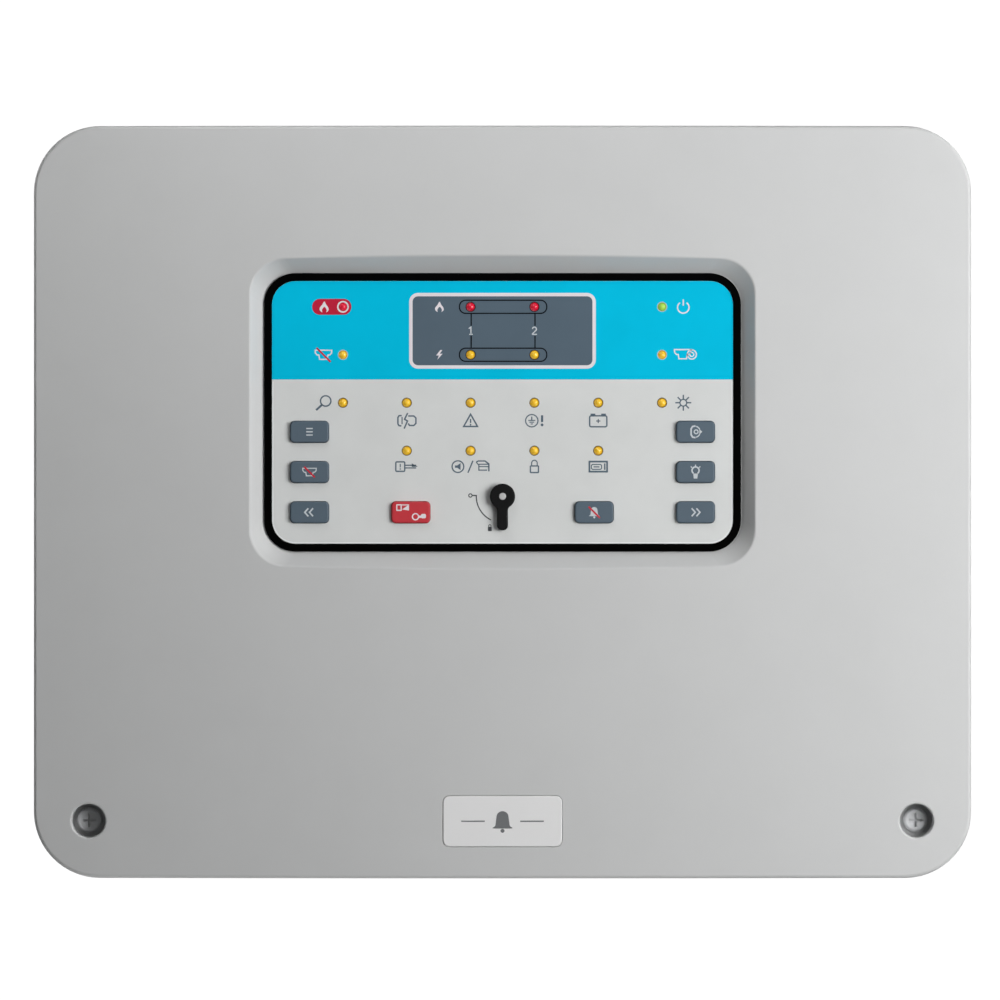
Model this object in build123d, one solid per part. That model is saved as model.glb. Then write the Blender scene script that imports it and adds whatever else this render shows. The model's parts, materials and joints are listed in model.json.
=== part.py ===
from build123d import *
import math
import os

# Two-zone conventional fire alarm control panel for a wall, as an assembly of separate sub-parts.
#
# Frame: the origin is the centre of the back face, on the wall plane. +X is to the right seen from the
# front, +Y points into the wall and +Z is up, so the panel stands forward of the wall along -Y.
# Depths are written as distances forward of the wall, and slab() and block() turn them into -Y.

# ---------------------------------------------------------------- driving dimensions, millimetres
PANEL_W = 318.0
PANEL_H = 255.0
PANEL_D = 96.0
CORNER_R = 22.5
CROWN_SAG = 5.5  # the front face is a shallow barrel: its sides lie this far behind its middle
WALL = 2.5

# Back box, which stands inside the overhanging skirt of the cover
BOX_INSET = 4.0
BOX_W = PANEL_W - 2 * BOX_INSET
BOX_H = PANEL_H - 2 * BOX_INSET
BOX_R = CORNER_R - BOX_INSET
BOX_FRONT = 66.0
SKIRT_BACK = 62.6

# Display recess in the cover, and the frame and overlay that fill its window
DISPLAY_Z = 30.4
RECESS_FLOOR = 89.5
RECESS_W, RECESS_H, RECESS_R = 162.2, 94.9, 10.9
RECESS_RUN = 8.0  # forward run of the recess walls, past the front face
RECESS_GROW_X, RECESS_GROW_Z, RECESS_GROW_R = 7.3, 7.0, 1.5
BEZEL_W, BEZEL_H, BEZEL_R = 161.8, 94.5, 10.7
BEZEL_RIM = 2.6
BEZEL_FRONT = 90.4
BEZEL_BACK = 86.0
OVERLAY_FRONT = 89.9
OVERLAY_T = 1.5
OVERLAY_BACK = OVERLAY_FRONT - OVERLAY_T

# Indicators: columns stand at odd multiples of half the pitch either side of the middle
LED_PITCH_X = 21.65
LED_PITCH_Z = 16.27
LED_TOP_Z = 66.2
LED_R = 1.35
LED_WINDOW_R = 1.5
YELLOW_LEDS = {1: (-5, -1, 1, 5), 2: (-5, -3, -1, 1, 3, 5), 3: (-3, -1, 1, 3)}
RED_LEDS = {0: (-5, -1, 1)}
GREEN_LEDS = {0: (5,)}

# Push buttons
BUTTON_W, BUTTON_H, BUTTON_R = 13.0, 7.2, 1.5
BUTTON_GAP = 0.2
BUTTON_PROUD = 1.4
BUTTON_COLUMN_X = 65.45
BUTTON_CENTRE_X = 31.1
BUTTON_LOW_Z = -3.5
BUTTON_PITCH_Z = 13.65
BUTTONS = {
    "button_function": (-BUTTON_COLUMN_X, 2),
    "button_mute_buzzer": (-BUTTON_COLUMN_X, 1),
    "button_previous": (-BUTTON_COLUMN_X, 0),
    "button_evacuate": (-BUTTON_CENTRE_X, 0),
    "button_silence": (BUTTON_CENTRE_X, 0),
    "button_reset": (BUTTON_COLUMN_X, 2),
    "button_lamp_test": (BUTTON_COLUMN_X, 1),
    "button_next": (BUTTON_COLUMN_X, 0),
}

# Key lever, which turns a quarter turn about its round head
KEY_Z = 1.9
KEY_HEAD_R = 4.3
KEY_ARM_W = 3.7
KEY_REACH = 11.5
KEY_BACK, KEY_FRONT = 90.15, 92.4
KEY_HUB_R = 3.0
KEY_PIN_R = 1.2

# Display board, on six bosses inside the cover
DISPLAY_FACE = 81.6
BOARD_T = 1.6
DISPLAY_REAR = DISPLAY_FACE - BOARD_T
DISPLAY_BOARD_W, DISPLAY_BOARD_H = 172.0, 104.0
DISPLAY_BOSSES = [(x, z) for x in (-81.0, 81.0) for z in (-47.0, 47.0)] + [(0.0, -49.0), (0.0, 49.0)]
BOSS_R = 2.6
CORNER_BOSS_ROOT, MIDDLE_BOSS_ROOT = 90.1, 88.3  # the bosses end inside the walls of the recess
SCREW_R = 1.5
INNER_SCREW_L = 5.0

# Cover screws, captive in wells near the bottom corners
SCREW_X = 140.35
SCREW_Z = -108.1
WELL_R = 5.7
WELL_WALL = 1.8
WELL_FLOOR = 80.5
WELL_FLOOR_T = 2.5
COVER_SCREW_R = 2.0
COVER_SCREW_HEAD_R = 4.1
COVER_SCREW_TIP = 73.5  # a short tip, so that the swing of the cover lifts it clear of its insert
POST_R = 5.0
POST_FRONT = 77.1
INSERT_R = 3.0
INSERT_BORE_R = 2.4
INSERT_L = 8.0

# Hinge, two knuckles on top of the box and behind the rim of the cover
HINGE_X = 95.0
HINGE_DEPTH = 58.0
HINGE_Z = 124.9
HINGE_R = 2.4
HINGE_PIN_R = 1.25
HINGE_PIN_L = 20.0
KNUCKLE_HALF = 3.8
KNUCKLE_GAP = 0.3

# Name plate, left blank
BADGE_W, BADGE_H, BADGE_R = 40.3, 17.2, 2.2
BADGE_Z = SCREW_Z

# Wall fixings and cable knock-outs
WALL_HOLE_R = 2.75
WALL_HOLE_X, WALL_HOLE_Z = 100.0, 113.0
TOP_KNOCKOUTS = [40.0 * i for i in range(-3, 4)]
TOP_KNOCKOUT_R, TOP_KNOCKOUT_DEPTH = 10.25, 31.0
BACK_KNOCKOUT_R, BACK_KNOCKOUT_X, BACK_KNOCKOUT_Z = 8.0, 40.0, -111.5
SCORE_W, SCORE_DEPTH = 0.7, 1.5

# Main board, on six bosses in the upper left of the box
MAIN_REAR = 10.0
MAIN_FACE = MAIN_REAR + BOARD_T
MAIN_X0, MAIN_X1, MAIN_Z0, MAIN_Z1 = -147.0, 39.0, 3.0, 107.0
MAIN_BOSSES = [(x, z) for x in (-142.0, -54.0, 34.0) for z in (8.0, 102.0)]
TERMINAL_PITCH, TERMINAL_D, TERMINAL_H = 5.08, 8.2, 10.0
ZONE_BLOCK_WAYS = 7
ZONE_BLOCK_X = [-118.0, -81.0, -27.0]
ZONE_BLOCK_Z = 94.0
POWER_BLOCK_WAYS, POWER_BLOCK_X, POWER_BLOCK_Z = 4, -76.0, 12.0

# Ribbon cable between the two boards
RIBBON_X = 17.0
RIBBON_W, RIBBON_T = 33.0, 0.9
HEADER_W, HEADER_D, HEADER_H, SOCKET_H = 36.0, 9.0, 9.0, 6.0
MAIN_HEADER_Z, DISPLAY_HEADER_Z = 84.0, 72.0

# Two sealed batteries, 12 V 7 Ah, on a steel tray
BATTERY_W, BATTERY_D, BATTERY_H = 151.0, 65.0, 94.0
BATTERY_GAP = 0.5
BATTERY_BACK = 4.4
TRAY_TOP = -101.0
TRAY_T = 1.5
TRAY_W = 300.0
TRAY_TABS = [-70.0, 70.0]
TRAY_SCREW_Z = -108.0
TAB_X = (-62.0, 62.0)  # from the middle of a battery
TAB_DEPTH = 61.0
TAB_W, TAB_T, TAB_H = 4.75, 0.8, 6.3
BOOT_W, BOOT_D, BOOT_H = 7.5, 5.0, 14.0

# Enclosed power supply in the upper right of the box
SUPPLY_X0, SUPPLY_X1, SUPPLY_Z0, SUPPLY_Z1 = 48.0, 147.0, 4.0, 86.0
SUPPLY_BACK, SUPPLY_FRONT = 5.0, 35.0
SUPPLY_SHEET = 1.2
SUPPLY_COVER_X = 61.5
SUPPLY_EARS = [(66.0, 0.0), (134.0, 0.0), (66.0, 90.0), (134.0, 90.0)]
SUPPLY_BOARD_REAR = 10.0
SUPPLY_FACE = SUPPLY_BOARD_REAR + BOARD_T
STRIP_X0, STRIP_X1, STRIP_Z0, STRIP_Z1 = 50.0, 60.5, 16.0, 74.0
STRIP_WAYS, STRIP_RIB, STRIP_SCREW_X, STRIP_H = 5, 1.6, 55.0, 6.0
MAINS_X, MAINS_Z, MAINS_PITCH = 66.0, 106.0, 11.0
EARTH_X, EARTH_Z = 128.0, 106.0

LEAD_R = 1.2


# ---------------------------------------------------------------- helpers
def slab(outline, back, front):
    """A prism of an outline drawn in X and Z, between two distances forward of the wall."""
    return extrude(Plane.XZ.offset(back) * outline, amount=front - back)


def block(x0, x1, back, front, z0, z1):
    """A plain rectangular block between two X, two depths forward of the wall and two Z."""
    size = Box(x1 - x0, front - back, z1 - z0)
    return Pos((x0 + x1) / 2, -(back + front) / 2, (z0 + z1) / 2) * size


def disc(x, z, radius, back, front):
    """A round bar along the depth of the panel."""
    return slab(Pos(x, z) * Circle(radius), back, front)


def rounded(width, height, radius, x=0.0, z=0.0):
    return Pos(x, z) * RectangleRounded(width, height, radius)


def bar_along_x(x0, x1, depth, z, radius):
    return Pos((x0 + x1) / 2, -depth, z) * Rot(0, 90, 0) * Cylinder(radius, x1 - x0)


def group(shapes):
    """Separate solids that share one node."""
    return Compound([solid for shape in shapes for solid in shape.solids()])


def crown(inset):
    """The barrel that shapes the front face, moved inward by inset."""
    radius = ((PANEL_W / 2) ** 2 + CROWN_SAG**2) / (2 * CROWN_SAG)
    return Pos(0, radius - PANEL_D, 0) * Cylinder(radius - inset, PANEL_H + 20)


def face_depth(x):
    """Distance of the front face from the wall at a given X."""
    radius = ((PANEL_W / 2) ** 2 + CROWN_SAG**2) / (2 * CROWN_SAG)
    return PANEL_D - (radius - math.sqrt(radius**2 - x**2))


def led_places(rows):
    """X and Z of the indicators of one colour."""
    return [
        (column * LED_PITCH_X / 2, LED_TOP_Z - row * LED_PITCH_Z)
        for row, columns in rows.items()
        for column in columns
    ]


ALL_LEDS = led_places(YELLOW_LEDS) + led_places(RED_LEDS) + led_places(GREEN_LEDS)


def button_place(name):
    x, row = BUTTONS[name]
    return x, BUTTON_LOW_Z + row * BUTTON_PITCH_Z


def inner_screw(x, z, seat):
    """An M3 pan-head screw, with its head resting at seat and a cross recess."""
    head = fillet(disc(x, z, 2.9, seat, seat + 2.2).faces().sort_by(Axis.Y)[0].edges(), 0.9)
    shank = disc(x, z, SCREW_R, seat - INNER_SCREW_L, seat)
    return head + shank - cross_recess(x, z, seat + 2.2, 1.5, 0.5, 1.2)


def cross_recess(x, z, front, reach, width, depth):
    """The two crossed slots of a screw head."""
    across = block(x - reach, x + reach, front - depth, front + 1, z - width / 2, z + width / 2)
    upright = block(x - width / 2, x + width / 2, front - depth, front + 1, z - reach, z + reach)
    return across + upright


# ---------------------------------------------------------------- cover and what it carries
def recess_body(floor, margin):
    """The flared hollow round the display: margin widens it for the back of its walls."""
    low = rounded(RECESS_W + 2 * margin, RECESS_H + 2 * margin, RECESS_R + margin, 0, DISPLAY_Z)
    high = rounded(
        RECESS_W + 2 * (margin + RECESS_GROW_X),
        RECESS_H + 2 * (margin + RECESS_GROW_Z),
        RECESS_R + margin + RECESS_GROW_R,
        0,
        DISPLAY_Z,
    )
    return loft([Plane.XZ.offset(floor) * low, Plane.XZ.offset(floor + RECESS_RUN) * high], ruled=True)


def front_cover():
    outline = rounded(PANEL_W, PANEL_H, CORNER_R)
    shell = slab(outline, SKIRT_BACK, PANEL_D + 1) & crown(0)
    front_line = -(PANEL_D - CROWN_SAG - 1)
    shell = fillet([e for e in shell.edges() if e.center().Y < front_line], 1.2)

    inner_outline = rounded(PANEL_W - 2 * WALL, PANEL_H - 2 * WALL, CORNER_R - WALL)
    cavity = slab(inner_outline, SKIRT_BACK - 1, PANEL_D) & crown(WALL)
    cavity -= recess_body(RECESS_FLOOR - WALL, 0.45 * WALL)
    shell -= cavity
    shell -= recess_body(RECESS_FLOOR, 0)
    rim = [e for e in shell.edges() if is_recess_rim(e)]
    shell = fillet(rim, 0.9)

    for side in (-1, 1):
        shell += disc(side * SCREW_X, SCREW_Z, WELL_R + WELL_WALL, WELL_FLOOR - WELL_FLOOR_T, 90.2)
    for side in (-1, 1):
        x = side * SCREW_X
        shell -= disc(x, SCREW_Z, WELL_R, WELL_FLOOR, PANEL_D + 1)
        shell -= disc(x, SCREW_Z, COVER_SCREW_R + 0.08, WELL_FLOOR - WELL_FLOOR_T - 1, WELL_FLOOR + 1)
    mouths = [e for e in shell.edges() if is_well_mouth(e)]
    shell = fillet(mouths, 0.6)

    for x, z in DISPLAY_BOSSES:
        root = CORNER_BOSS_ROOT if x else MIDDLE_BOSS_ROOT
        shell += disc(x, DISPLAY_Z + z, BOSS_R, DISPLAY_FACE, root)
    for x, z in DISPLAY_BOSSES:
        shell -= disc(x, DISPLAY_Z + z, SCREW_R + 0.05, DISPLAY_FACE - 1, DISPLAY_FACE + 5.0)
    shell = add_cover_ribs(shell)
    shell = add_cover_knuckles(shell)

    shell -= slab(window_outline(), 80, 92)
    seat = face_depth(BADGE_W / 2) - 0.6
    shell -= slab(rounded(BADGE_W + 0.3, BADGE_H + 0.3, BADGE_R + 0.15, 0, BADGE_Z), seat, PANEL_D + 1)
    return shell


def is_recess_rim(edge):
    """The edges where the walls of the display recess meet the barrelled front face."""
    middle = edge.center()
    near = abs(middle.X) < 92 and abs(middle.Z - DISPLAY_Z) < 58
    return near and middle.Y < -(RECESS_FLOOR + 2.5) and edge.bounding_box().size.Y < 3.0


def is_well_mouth(edge):
    """The edge where a screw well opens in the front face."""
    middle = edge.bounding_box().center()
    return abs(abs(middle.X) - SCREW_X) < 1.0 and middle.Y < -90.8 and abs(middle.Z - SCREW_Z) < 1.0


def window_outline():
    return rounded(BEZEL_W - 3.4, BEZEL_H - 3.4, BEZEL_R - 1.7, 0, DISPLAY_Z)


def add_cover_ribs(shell):
    """Stiffening ribs on the inside of the front face, clear of the display recess."""
    rib_t, rib_h = 1.6, 4.5
    space = slab(rounded(PANEL_W - 4, PANEL_H - 4, CORNER_R - 2), SKIRT_BACK, PANEL_D) & crown(1.0)
    space -= Pos(0, rib_h, 0) * crown_prism()
    ribs = []
    for x in (-122.0, -101.0, 101.0, 122.0):
        ribs.append(block(x - rib_t / 2, x + rib_t / 2, SKIRT_BACK, PANEL_D, -92.0, 126.5))
    for z in (-92.0, -62.0, -38.0, 102.0):
        ribs.append(block(-158.0, 158.0, SKIRT_BACK, PANEL_D, z - rib_t / 2, z + rib_t / 2))
    for rib in ribs:
        shell += rib & space
    return shell


def crown_prism():
    """Everything behind the inner surface of the front face, as one tall block."""
    return slab(Rectangle(PANEL_W + 40, PANEL_H + 40), 0, PANEL_D + 5) & crown(WALL)


def add_cover_knuckles(shell):
    """The two hinge knuckles of the cover, each on a tab that reaches back from the top of the rim."""
    for side in (-1, 1):
        x = side * HINGE_X
        x0, x1 = x - KNUCKLE_HALF, x + KNUCKLE_HALF
        shell += bar_along_x(x0, x1, HINGE_DEPTH, HINGE_Z, HINGE_R)
        shell += block(x0, x1, HINGE_DEPTH, SKIRT_BACK + 2, HINGE_Z + 0.15, HINGE_Z + HINGE_R)
        shell -= bar_along_x(x0 - 1, x1 + 1, HINGE_DEPTH, HINGE_Z, HINGE_PIN_R + 0.05)
    return shell


def display_bezel():
    """Black frame: a flange on the recess floor, a web through the window and a ledge for the overlay."""
    flange = slab(rounded(BEZEL_W, BEZEL_H, BEZEL_R, 0, DISPLAY_Z), RECESS_FLOOR, BEZEL_FRONT)
    web = slab(rounded(BEZEL_W - 3.6, BEZEL_H - 3.6, BEZEL_R - 1.8, 0, DISPLAY_Z), BEZEL_BACK, RECESS_FLOOR)
    frame = flange + web
    inner_w, inner_h, inner_r = BEZEL_W - 2 * BEZEL_RIM, BEZEL_H - 2 * BEZEL_RIM, BEZEL_R - BEZEL_RIM
    frame -= slab(rounded(inner_w, inner_h, inner_r, 0, DISPLAY_Z), OVERLAY_BACK, BEZEL_FRONT + 1)
    frame -= slab(rounded(inner_w - 4.6, inner_h - 4.6, inner_r - 2.3, 0, DISPLAY_Z), 80, 95)
    front_edges = frame.faces().sort_by(Axis.Y)[0].edges()
    return fillet(front_edges, 0.35)


def overlay_panel():
    """The printed plate: holes for the indicators, the buttons and the key."""
    width = BEZEL_W - 2 * BEZEL_RIM - 0.2
    height = BEZEL_H - 2 * BEZEL_RIM - 0.2
    outline = rounded(width, height, BEZEL_R - BEZEL_RIM - 0.1, 0, DISPLAY_Z)
    for x, z in ALL_LEDS:
        outline -= Pos(x, z) * Circle(LED_WINDOW_R)
    for name in BUTTONS:
        x, z = button_place(name)
        outline -= rounded(BUTTON_W + 2 * BUTTON_GAP, BUTTON_H + 2 * BUTTON_GAP, BUTTON_R + BUTTON_GAP, x, z)
    outline -= Pos(0, KEY_Z) * Circle(KEY_HUB_R + 0.2)
    return slab(outline, OVERLAY_BACK, OVERLAY_FRONT)


def push_button(name):
    """A key cap with a retaining flange behind the overlay and a plunger into its switch."""
    x, z = button_place(name)
    front = OVERLAY_FRONT + BUTTON_PROUD
    cap = slab(rounded(BUTTON_W, BUTTON_H, BUTTON_R, x, z), OVERLAY_BACK - 0.9, front)
    cap = fillet(cap.faces().sort_by(Axis.Y)[0].edges(), 0.45)
    lip = rounded(BUTTON_W + 1.8, BUTTON_H + 1.8, BUTTON_R + 0.9, x, z)
    flange = slab(lip, OVERLAY_BACK - 0.9, OVERLAY_BACK - 0.05)
    plunger = disc(x, z, 1.7, DISPLAY_FACE + 3.3, OVERLAY_BACK - 0.5)
    return cap + flange + plunger


def indicator(x, z):
    """A 3 mm indicator: domed lens, flange and the leg core inside its spacer."""
    lens = disc(x, z, LED_R, DISPLAY_FACE + 3.0, OVERLAY_FRONT + 0.6 - LED_R)
    dome = Pos(x, -(OVERLAY_FRONT + 0.6 - LED_R), z) * Sphere(LED_R)
    flange = disc(x, z, 1.75, DISPLAY_FACE + 3.0, DISPLAY_FACE + 4.0)
    legs = disc(x, z, 0.8, DISPLAY_FACE, DISPLAY_FACE + 3.5)
    return lens + dome + flange + legs


def led_spacers():
    rings = [Pos(x, z) * (Circle(2.1) - Circle(0.9)) for x, z in ALL_LEDS]
    return group([slab(ring, DISPLAY_FACE, DISPLAY_FACE + 3.0) for ring in rings])


def display_board():
    outline = rounded(DISPLAY_BOARD_W, DISPLAY_BOARD_H, 3.0, 0, DISPLAY_Z)
    for x, z in DISPLAY_BOSSES:
        outline -= Pos(x, DISPLAY_Z + z) * Circle(SCREW_R + 0.2)
    return slab(outline, DISPLAY_REAR, DISPLAY_FACE)


def display_board_screws():
    """Self-tapping screws from behind the board into the bosses of the cover."""
    screws = []
    for x, z in DISPLAY_BOSSES:
        z += DISPLAY_Z
        head = disc(x, z, 2.6, DISPLAY_REAR - 2.0, DISPLAY_REAR)
        head = fillet(head.faces().sort_by(Axis.Y)[-1].edges(), 0.8)
        shank = disc(x, z, SCREW_R, DISPLAY_REAR, DISPLAY_FACE + 4.5)
        slot = block(x - 1.6, x + 1.6, DISPLAY_REAR - 3, DISPLAY_REAR - 1.1, z - 0.25, z + 0.25)
        slot += block(x - 0.25, x + 0.25, DISPLAY_REAR - 3, DISPLAY_REAR - 1.1, z - 1.6, z + 1.6)
        screws.append(head + shank - slot)
    return group(screws)


def tact_switches():
    """Square push switches on the face of the display board, each bored for a button's plunger."""
    switches = []
    for name in BUTTONS:
        x, z = button_place(name)
        body = slab(rounded(6.0, 6.0, 0.6, x, z), DISPLAY_FACE, DISPLAY_FACE + 3.8)
        switches.append(body - disc(x, z, 1.85, DISPLAY_FACE + 1.8, DISPLAY_FACE + 5))
    return group(switches)


def key_switch():
    """Rotary switch on the display board that holds the hub of the key lever."""
    body = slab(rounded(14.0, 11.0, 1.0, 0, KEY_Z), DISPLAY_FACE, DISPLAY_FACE + 4.8)
    return body - disc(0, KEY_Z, KEY_HUB_R + 0.06, DISPLAY_FACE + 2.2, DISPLAY_FACE + 6)


def key_lever():
    """A flat key: round head and straight arm, joined by hollow curves, with a hub into the switch."""
    arm = Pos(0, -KEY_REACH / 2) * Rectangle(KEY_ARM_W, KEY_REACH)
    flat = Circle(KEY_HEAD_R) + arm
    flat = fillet(flat.vertices().filter_by(lambda v: -KEY_REACH + 0.1 < v.Y < -1.0), 1.8)
    flat = fillet(flat.vertices().filter_by(lambda v: v.Y < -KEY_REACH + 0.1), 1.6)
    lever = slab(Pos(0, KEY_Z) * flat, KEY_BACK, KEY_FRONT)
    lever = fillet(lever.faces().sort_by(Axis.Y)[0].edges(), 0.45)
    lever += disc(0, KEY_Z, KEY_HUB_R, DISPLAY_FACE + 2.4, KEY_BACK + 0.5)
    return lever - disc(0, KEY_Z, KEY_PIN_R + 0.01, KEY_BACK - 4, KEY_FRONT + 1)


def key_pin():
    """The bright pin in the middle of the key's head."""
    pin = disc(0, KEY_Z, KEY_PIN_R, KEY_BACK - 4, KEY_FRONT + 0.15)
    return fillet(pin.faces().sort_by(Axis.Y)[0].edges(), 0.3)


def display_chips():
    """Controller and drivers on the rear of the display board."""
    places = [(-8.0, 40.0, 12.0, 12.0), (-34.0, 26.0, 10.0, 5.4)]
    places += [(30.0, 26.0, 10.0, 5.4), (52.0, 52.0, 7.0, 5.0)]
    chips = [slab(rounded(w, h, 0.5, x, z), DISPLAY_REAR - 1.8, DISPLAY_REAR) for x, z, w, h in places]
    return group(chips)


def buzzer():
    """Round sounder on the rear of the display board, with its sound hole."""
    x, z = -52.0, 58.0
    can = disc(x, z, 7.0, DISPLAY_REAR - 8.0, DISPLAY_REAR)
    can = fillet(can.faces().sort_by(Axis.Y)[-1].edges(), 0.8)
    return can - disc(x, z, 1.2, DISPLAY_REAR - 9, DISPLAY_REAR - 6.5)


def ribbon_socket(z, base, step):
    """A box header on a board, and the cable socket pressed into it: step is -1 on the cover."""
    ends = sorted((base, base + step * HEADER_H))
    header = slab(rounded(HEADER_W, HEADER_D, 0.6, RIBBON_X, z), *ends)
    ends = sorted((base + step * HEADER_H, base + step * (HEADER_H + SOCKET_H)))
    socket = slab(rounded(HEADER_W - 2, HEADER_D - 2, 0.5, RIBBON_X, z), *ends)
    return group([header, socket])


def badge_plate():
    seat = face_depth(BADGE_W / 2) - 0.6
    plate = slab(rounded(BADGE_W, BADGE_H, BADGE_R, 0, BADGE_Z), seat, seat + 0.9)
    return fillet(plate.faces().sort_by(Axis.Y)[0].edges(), 0.3)


def cover_screw(side):
    """An M4 pan-head screw at the bottom of its well, its tip inside the insert of the box."""
    x, seat, head_h = side * SCREW_X, WELL_FLOOR, 2.9
    head = disc(x, SCREW_Z, COVER_SCREW_HEAD_R, seat + 0.02, seat + head_h)
    head = fillet(head.faces().sort_by(Axis.Y)[0].edges(), 1.1)
    shank = disc(x, SCREW_Z, COVER_SCREW_R, COVER_SCREW_TIP, seat + 0.5)
    shank = chamfer(shank.faces().sort_by(Axis.Y)[-1].edges(), 0.6)
    return head + shank - cross_recess(x, SCREW_Z, seat + head_h, 2.3, 0.75, 1.7)


def screw_retainers():
    """Nylon washers that keep the cover screws in the cover."""
    back = WELL_FLOOR - WELL_FLOOR_T - 0.55
    ring = Circle(4.0) - Circle(COVER_SCREW_R + 0.06)
    return group([slab(Pos(side * SCREW_X, SCREW_Z) * ring, back, back + 0.5) for side in (-1, 1)])


# ---------------------------------------------------------------- back box and what it carries
def back_box():
    shell = slab(rounded(BOX_W, BOX_H, BOX_R), 0, BOX_FRONT)
    shell = fillet(shell.faces().sort_by(Axis.Y)[-1].edges(), 0.8)
    shell -= slab(rounded(BOX_W - 2 * WALL, BOX_H - 2 * WALL, BOX_R - WALL), WALL, BOX_FRONT + 1)

    for x, z in MAIN_BOSSES:
        shell += disc(x, z, 3.5, WALL - 0.5, MAIN_REAR)
    for x, z in SUPPLY_EARS:
        shell += disc(x, z, 3.5, WALL - 0.5, SUPPLY_BACK)
    for x in TRAY_TABS:
        shell += disc(x, TRAY_SCREW_Z, 4.0, WALL - 0.5, 6.0)
    for side in (-1, 1):
        shell += disc(side * SCREW_X, SCREW_Z, POST_R, WALL - 0.5, POST_FRONT)
        wall_x = sorted((side * (SCREW_X + POST_R - 1), side * (BOX_W / 2 - WALL + 0.5)))
        shell += block(*wall_x, WALL - 0.5, 60.0, SCREW_Z - 0.9, SCREW_Z + 0.9)
        ledge_x = sorted((side * (TRAY_W / 2 - 2.0), side * (BOX_W / 2 - WALL + 0.5)))
        shell += block(*ledge_x, WALL - 0.5, 64.0, TRAY_TOP - TRAY_T - 2.5, TRAY_TOP - TRAY_T - 0.05)

    for x, z in MAIN_BOSSES:
        shell -= disc(x, z, SCREW_R, WALL + 1, MAIN_REAR + 1)
    for x, z in SUPPLY_EARS:
        shell -= disc(x, z, SCREW_R, 0.8, SUPPLY_BACK + 1)
    for x in TRAY_TABS:
        shell -= disc(x, TRAY_SCREW_Z, SCREW_R, 0.8, 7.0)
    shell -= disc(EARTH_X, EARTH_Z, 2.0, 0.8, WALL + 1)
    for side in (-1, 1):
        x = side * SCREW_X
        shell -= disc(x, SCREW_Z, INSERT_R, POST_FRONT - INSERT_L, POST_FRONT + 1)
        shell -= disc(x, SCREW_Z, INSERT_BORE_R, POST_FRONT - INSERT_L - 3, POST_FRONT - INSERT_L + 1)

    shell = add_box_knuckles(shell)
    shell -= wall_openings()
    return shell


def wall_openings():
    """Wall-fixing holes, and the score lines of the knock-outs that are still closed."""
    cut = None
    for x in (-WALL_HOLE_X, WALL_HOLE_X):
        for z in (-WALL_HOLE_Z, WALL_HOLE_Z):
            hole = disc(x, z, WALL_HOLE_R, -1, WALL + 1)
            cut = hole if cut is None else cut + hole
    ring = Circle(TOP_KNOCKOUT_R) - Circle(TOP_KNOCKOUT_R - SCORE_W)
    for x in TOP_KNOCKOUTS:
        place = Plane(origin=(x, -TOP_KNOCKOUT_DEPTH, BOX_H / 2 - SCORE_DEPTH), z_dir=(0, 0, 1))
        cut += extrude(place * ring, amount=SCORE_DEPTH + 1)
    ring = Circle(BACK_KNOCKOUT_R) - Circle(BACK_KNOCKOUT_R - SCORE_W)
    for side in (-1, 1):
        cut += slab(Pos(side * BACK_KNOCKOUT_X, BACK_KNOCKOUT_Z) * ring, -1, SCORE_DEPTH)
    return cut


def add_box_knuckles(shell):
    """Two pairs of knuckles on top of the box, with hollows under the knuckles of the cover."""
    half = HINGE_PIN_L / 2
    for side in (-1, 1):
        x = side * HINGE_X
        shell -= bar_along_x(x - KNUCKLE_HALF - KNUCKLE_GAP, x + KNUCKLE_HALF + KNUCKLE_GAP,
                             HINGE_DEPTH, HINGE_Z, HINGE_R + 0.3)
        for end in (-1, 1):
            x0, x1 = sorted((x + end * (KNUCKLE_HALF + KNUCKLE_GAP), x + end * half))
            shell += bar_along_x(x0, x1, HINGE_DEPTH, HINGE_Z, HINGE_R)
            shell += block(x0, x1, HINGE_DEPTH - HINGE_R, HINGE_DEPTH + HINGE_R, BOX_H / 2 - 0.5, HINGE_Z)
        shell -= bar_along_x(x - half - 1, x + half + 1, HINGE_DEPTH, HINGE_Z, HINGE_PIN_R + 0.01)
    return shell


def hinge_pins():
    half = HINGE_PIN_L / 2
    return group([
        bar_along_x(side * HINGE_X - half, side * HINGE_X + half, HINGE_DEPTH, HINGE_Z, HINGE_PIN_R)
        for side in (-1, 1)
    ])


def post_inserts():
    """Brass inserts in the posts that the cover screws go into."""
    ring = Circle(INSERT_R - 0.01) - Circle(INSERT_BORE_R)
    return group([
        slab(Pos(side * SCREW_X, SCREW_Z) * ring, POST_FRONT - INSERT_L, POST_FRONT) for side in (-1, 1)
    ])


def battery_tray():
    """Folded steel tray: a plate with a lip in front and two tabs down to the back wall."""
    front = BATTERY_BACK + BATTERY_D + 0.6
    tray = block(-TRAY_W / 2, TRAY_W / 2, 6.0, front + TRAY_T, TRAY_TOP - TRAY_T, TRAY_TOP)
    tray += block(-TRAY_W / 2, TRAY_W / 2, front, front + TRAY_T, TRAY_TOP - TRAY_T, TRAY_TOP + 8.0)
    for x in TRAY_TABS:
        tray += block(x - 10, x + 10, 6.0, 6.0 + TRAY_T, TRAY_SCREW_Z - 5.0, TRAY_TOP)
        tray -= disc(x, TRAY_SCREW_Z, SCREW_R + 0.2, 5.0, 9.0)
    return tray


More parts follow.
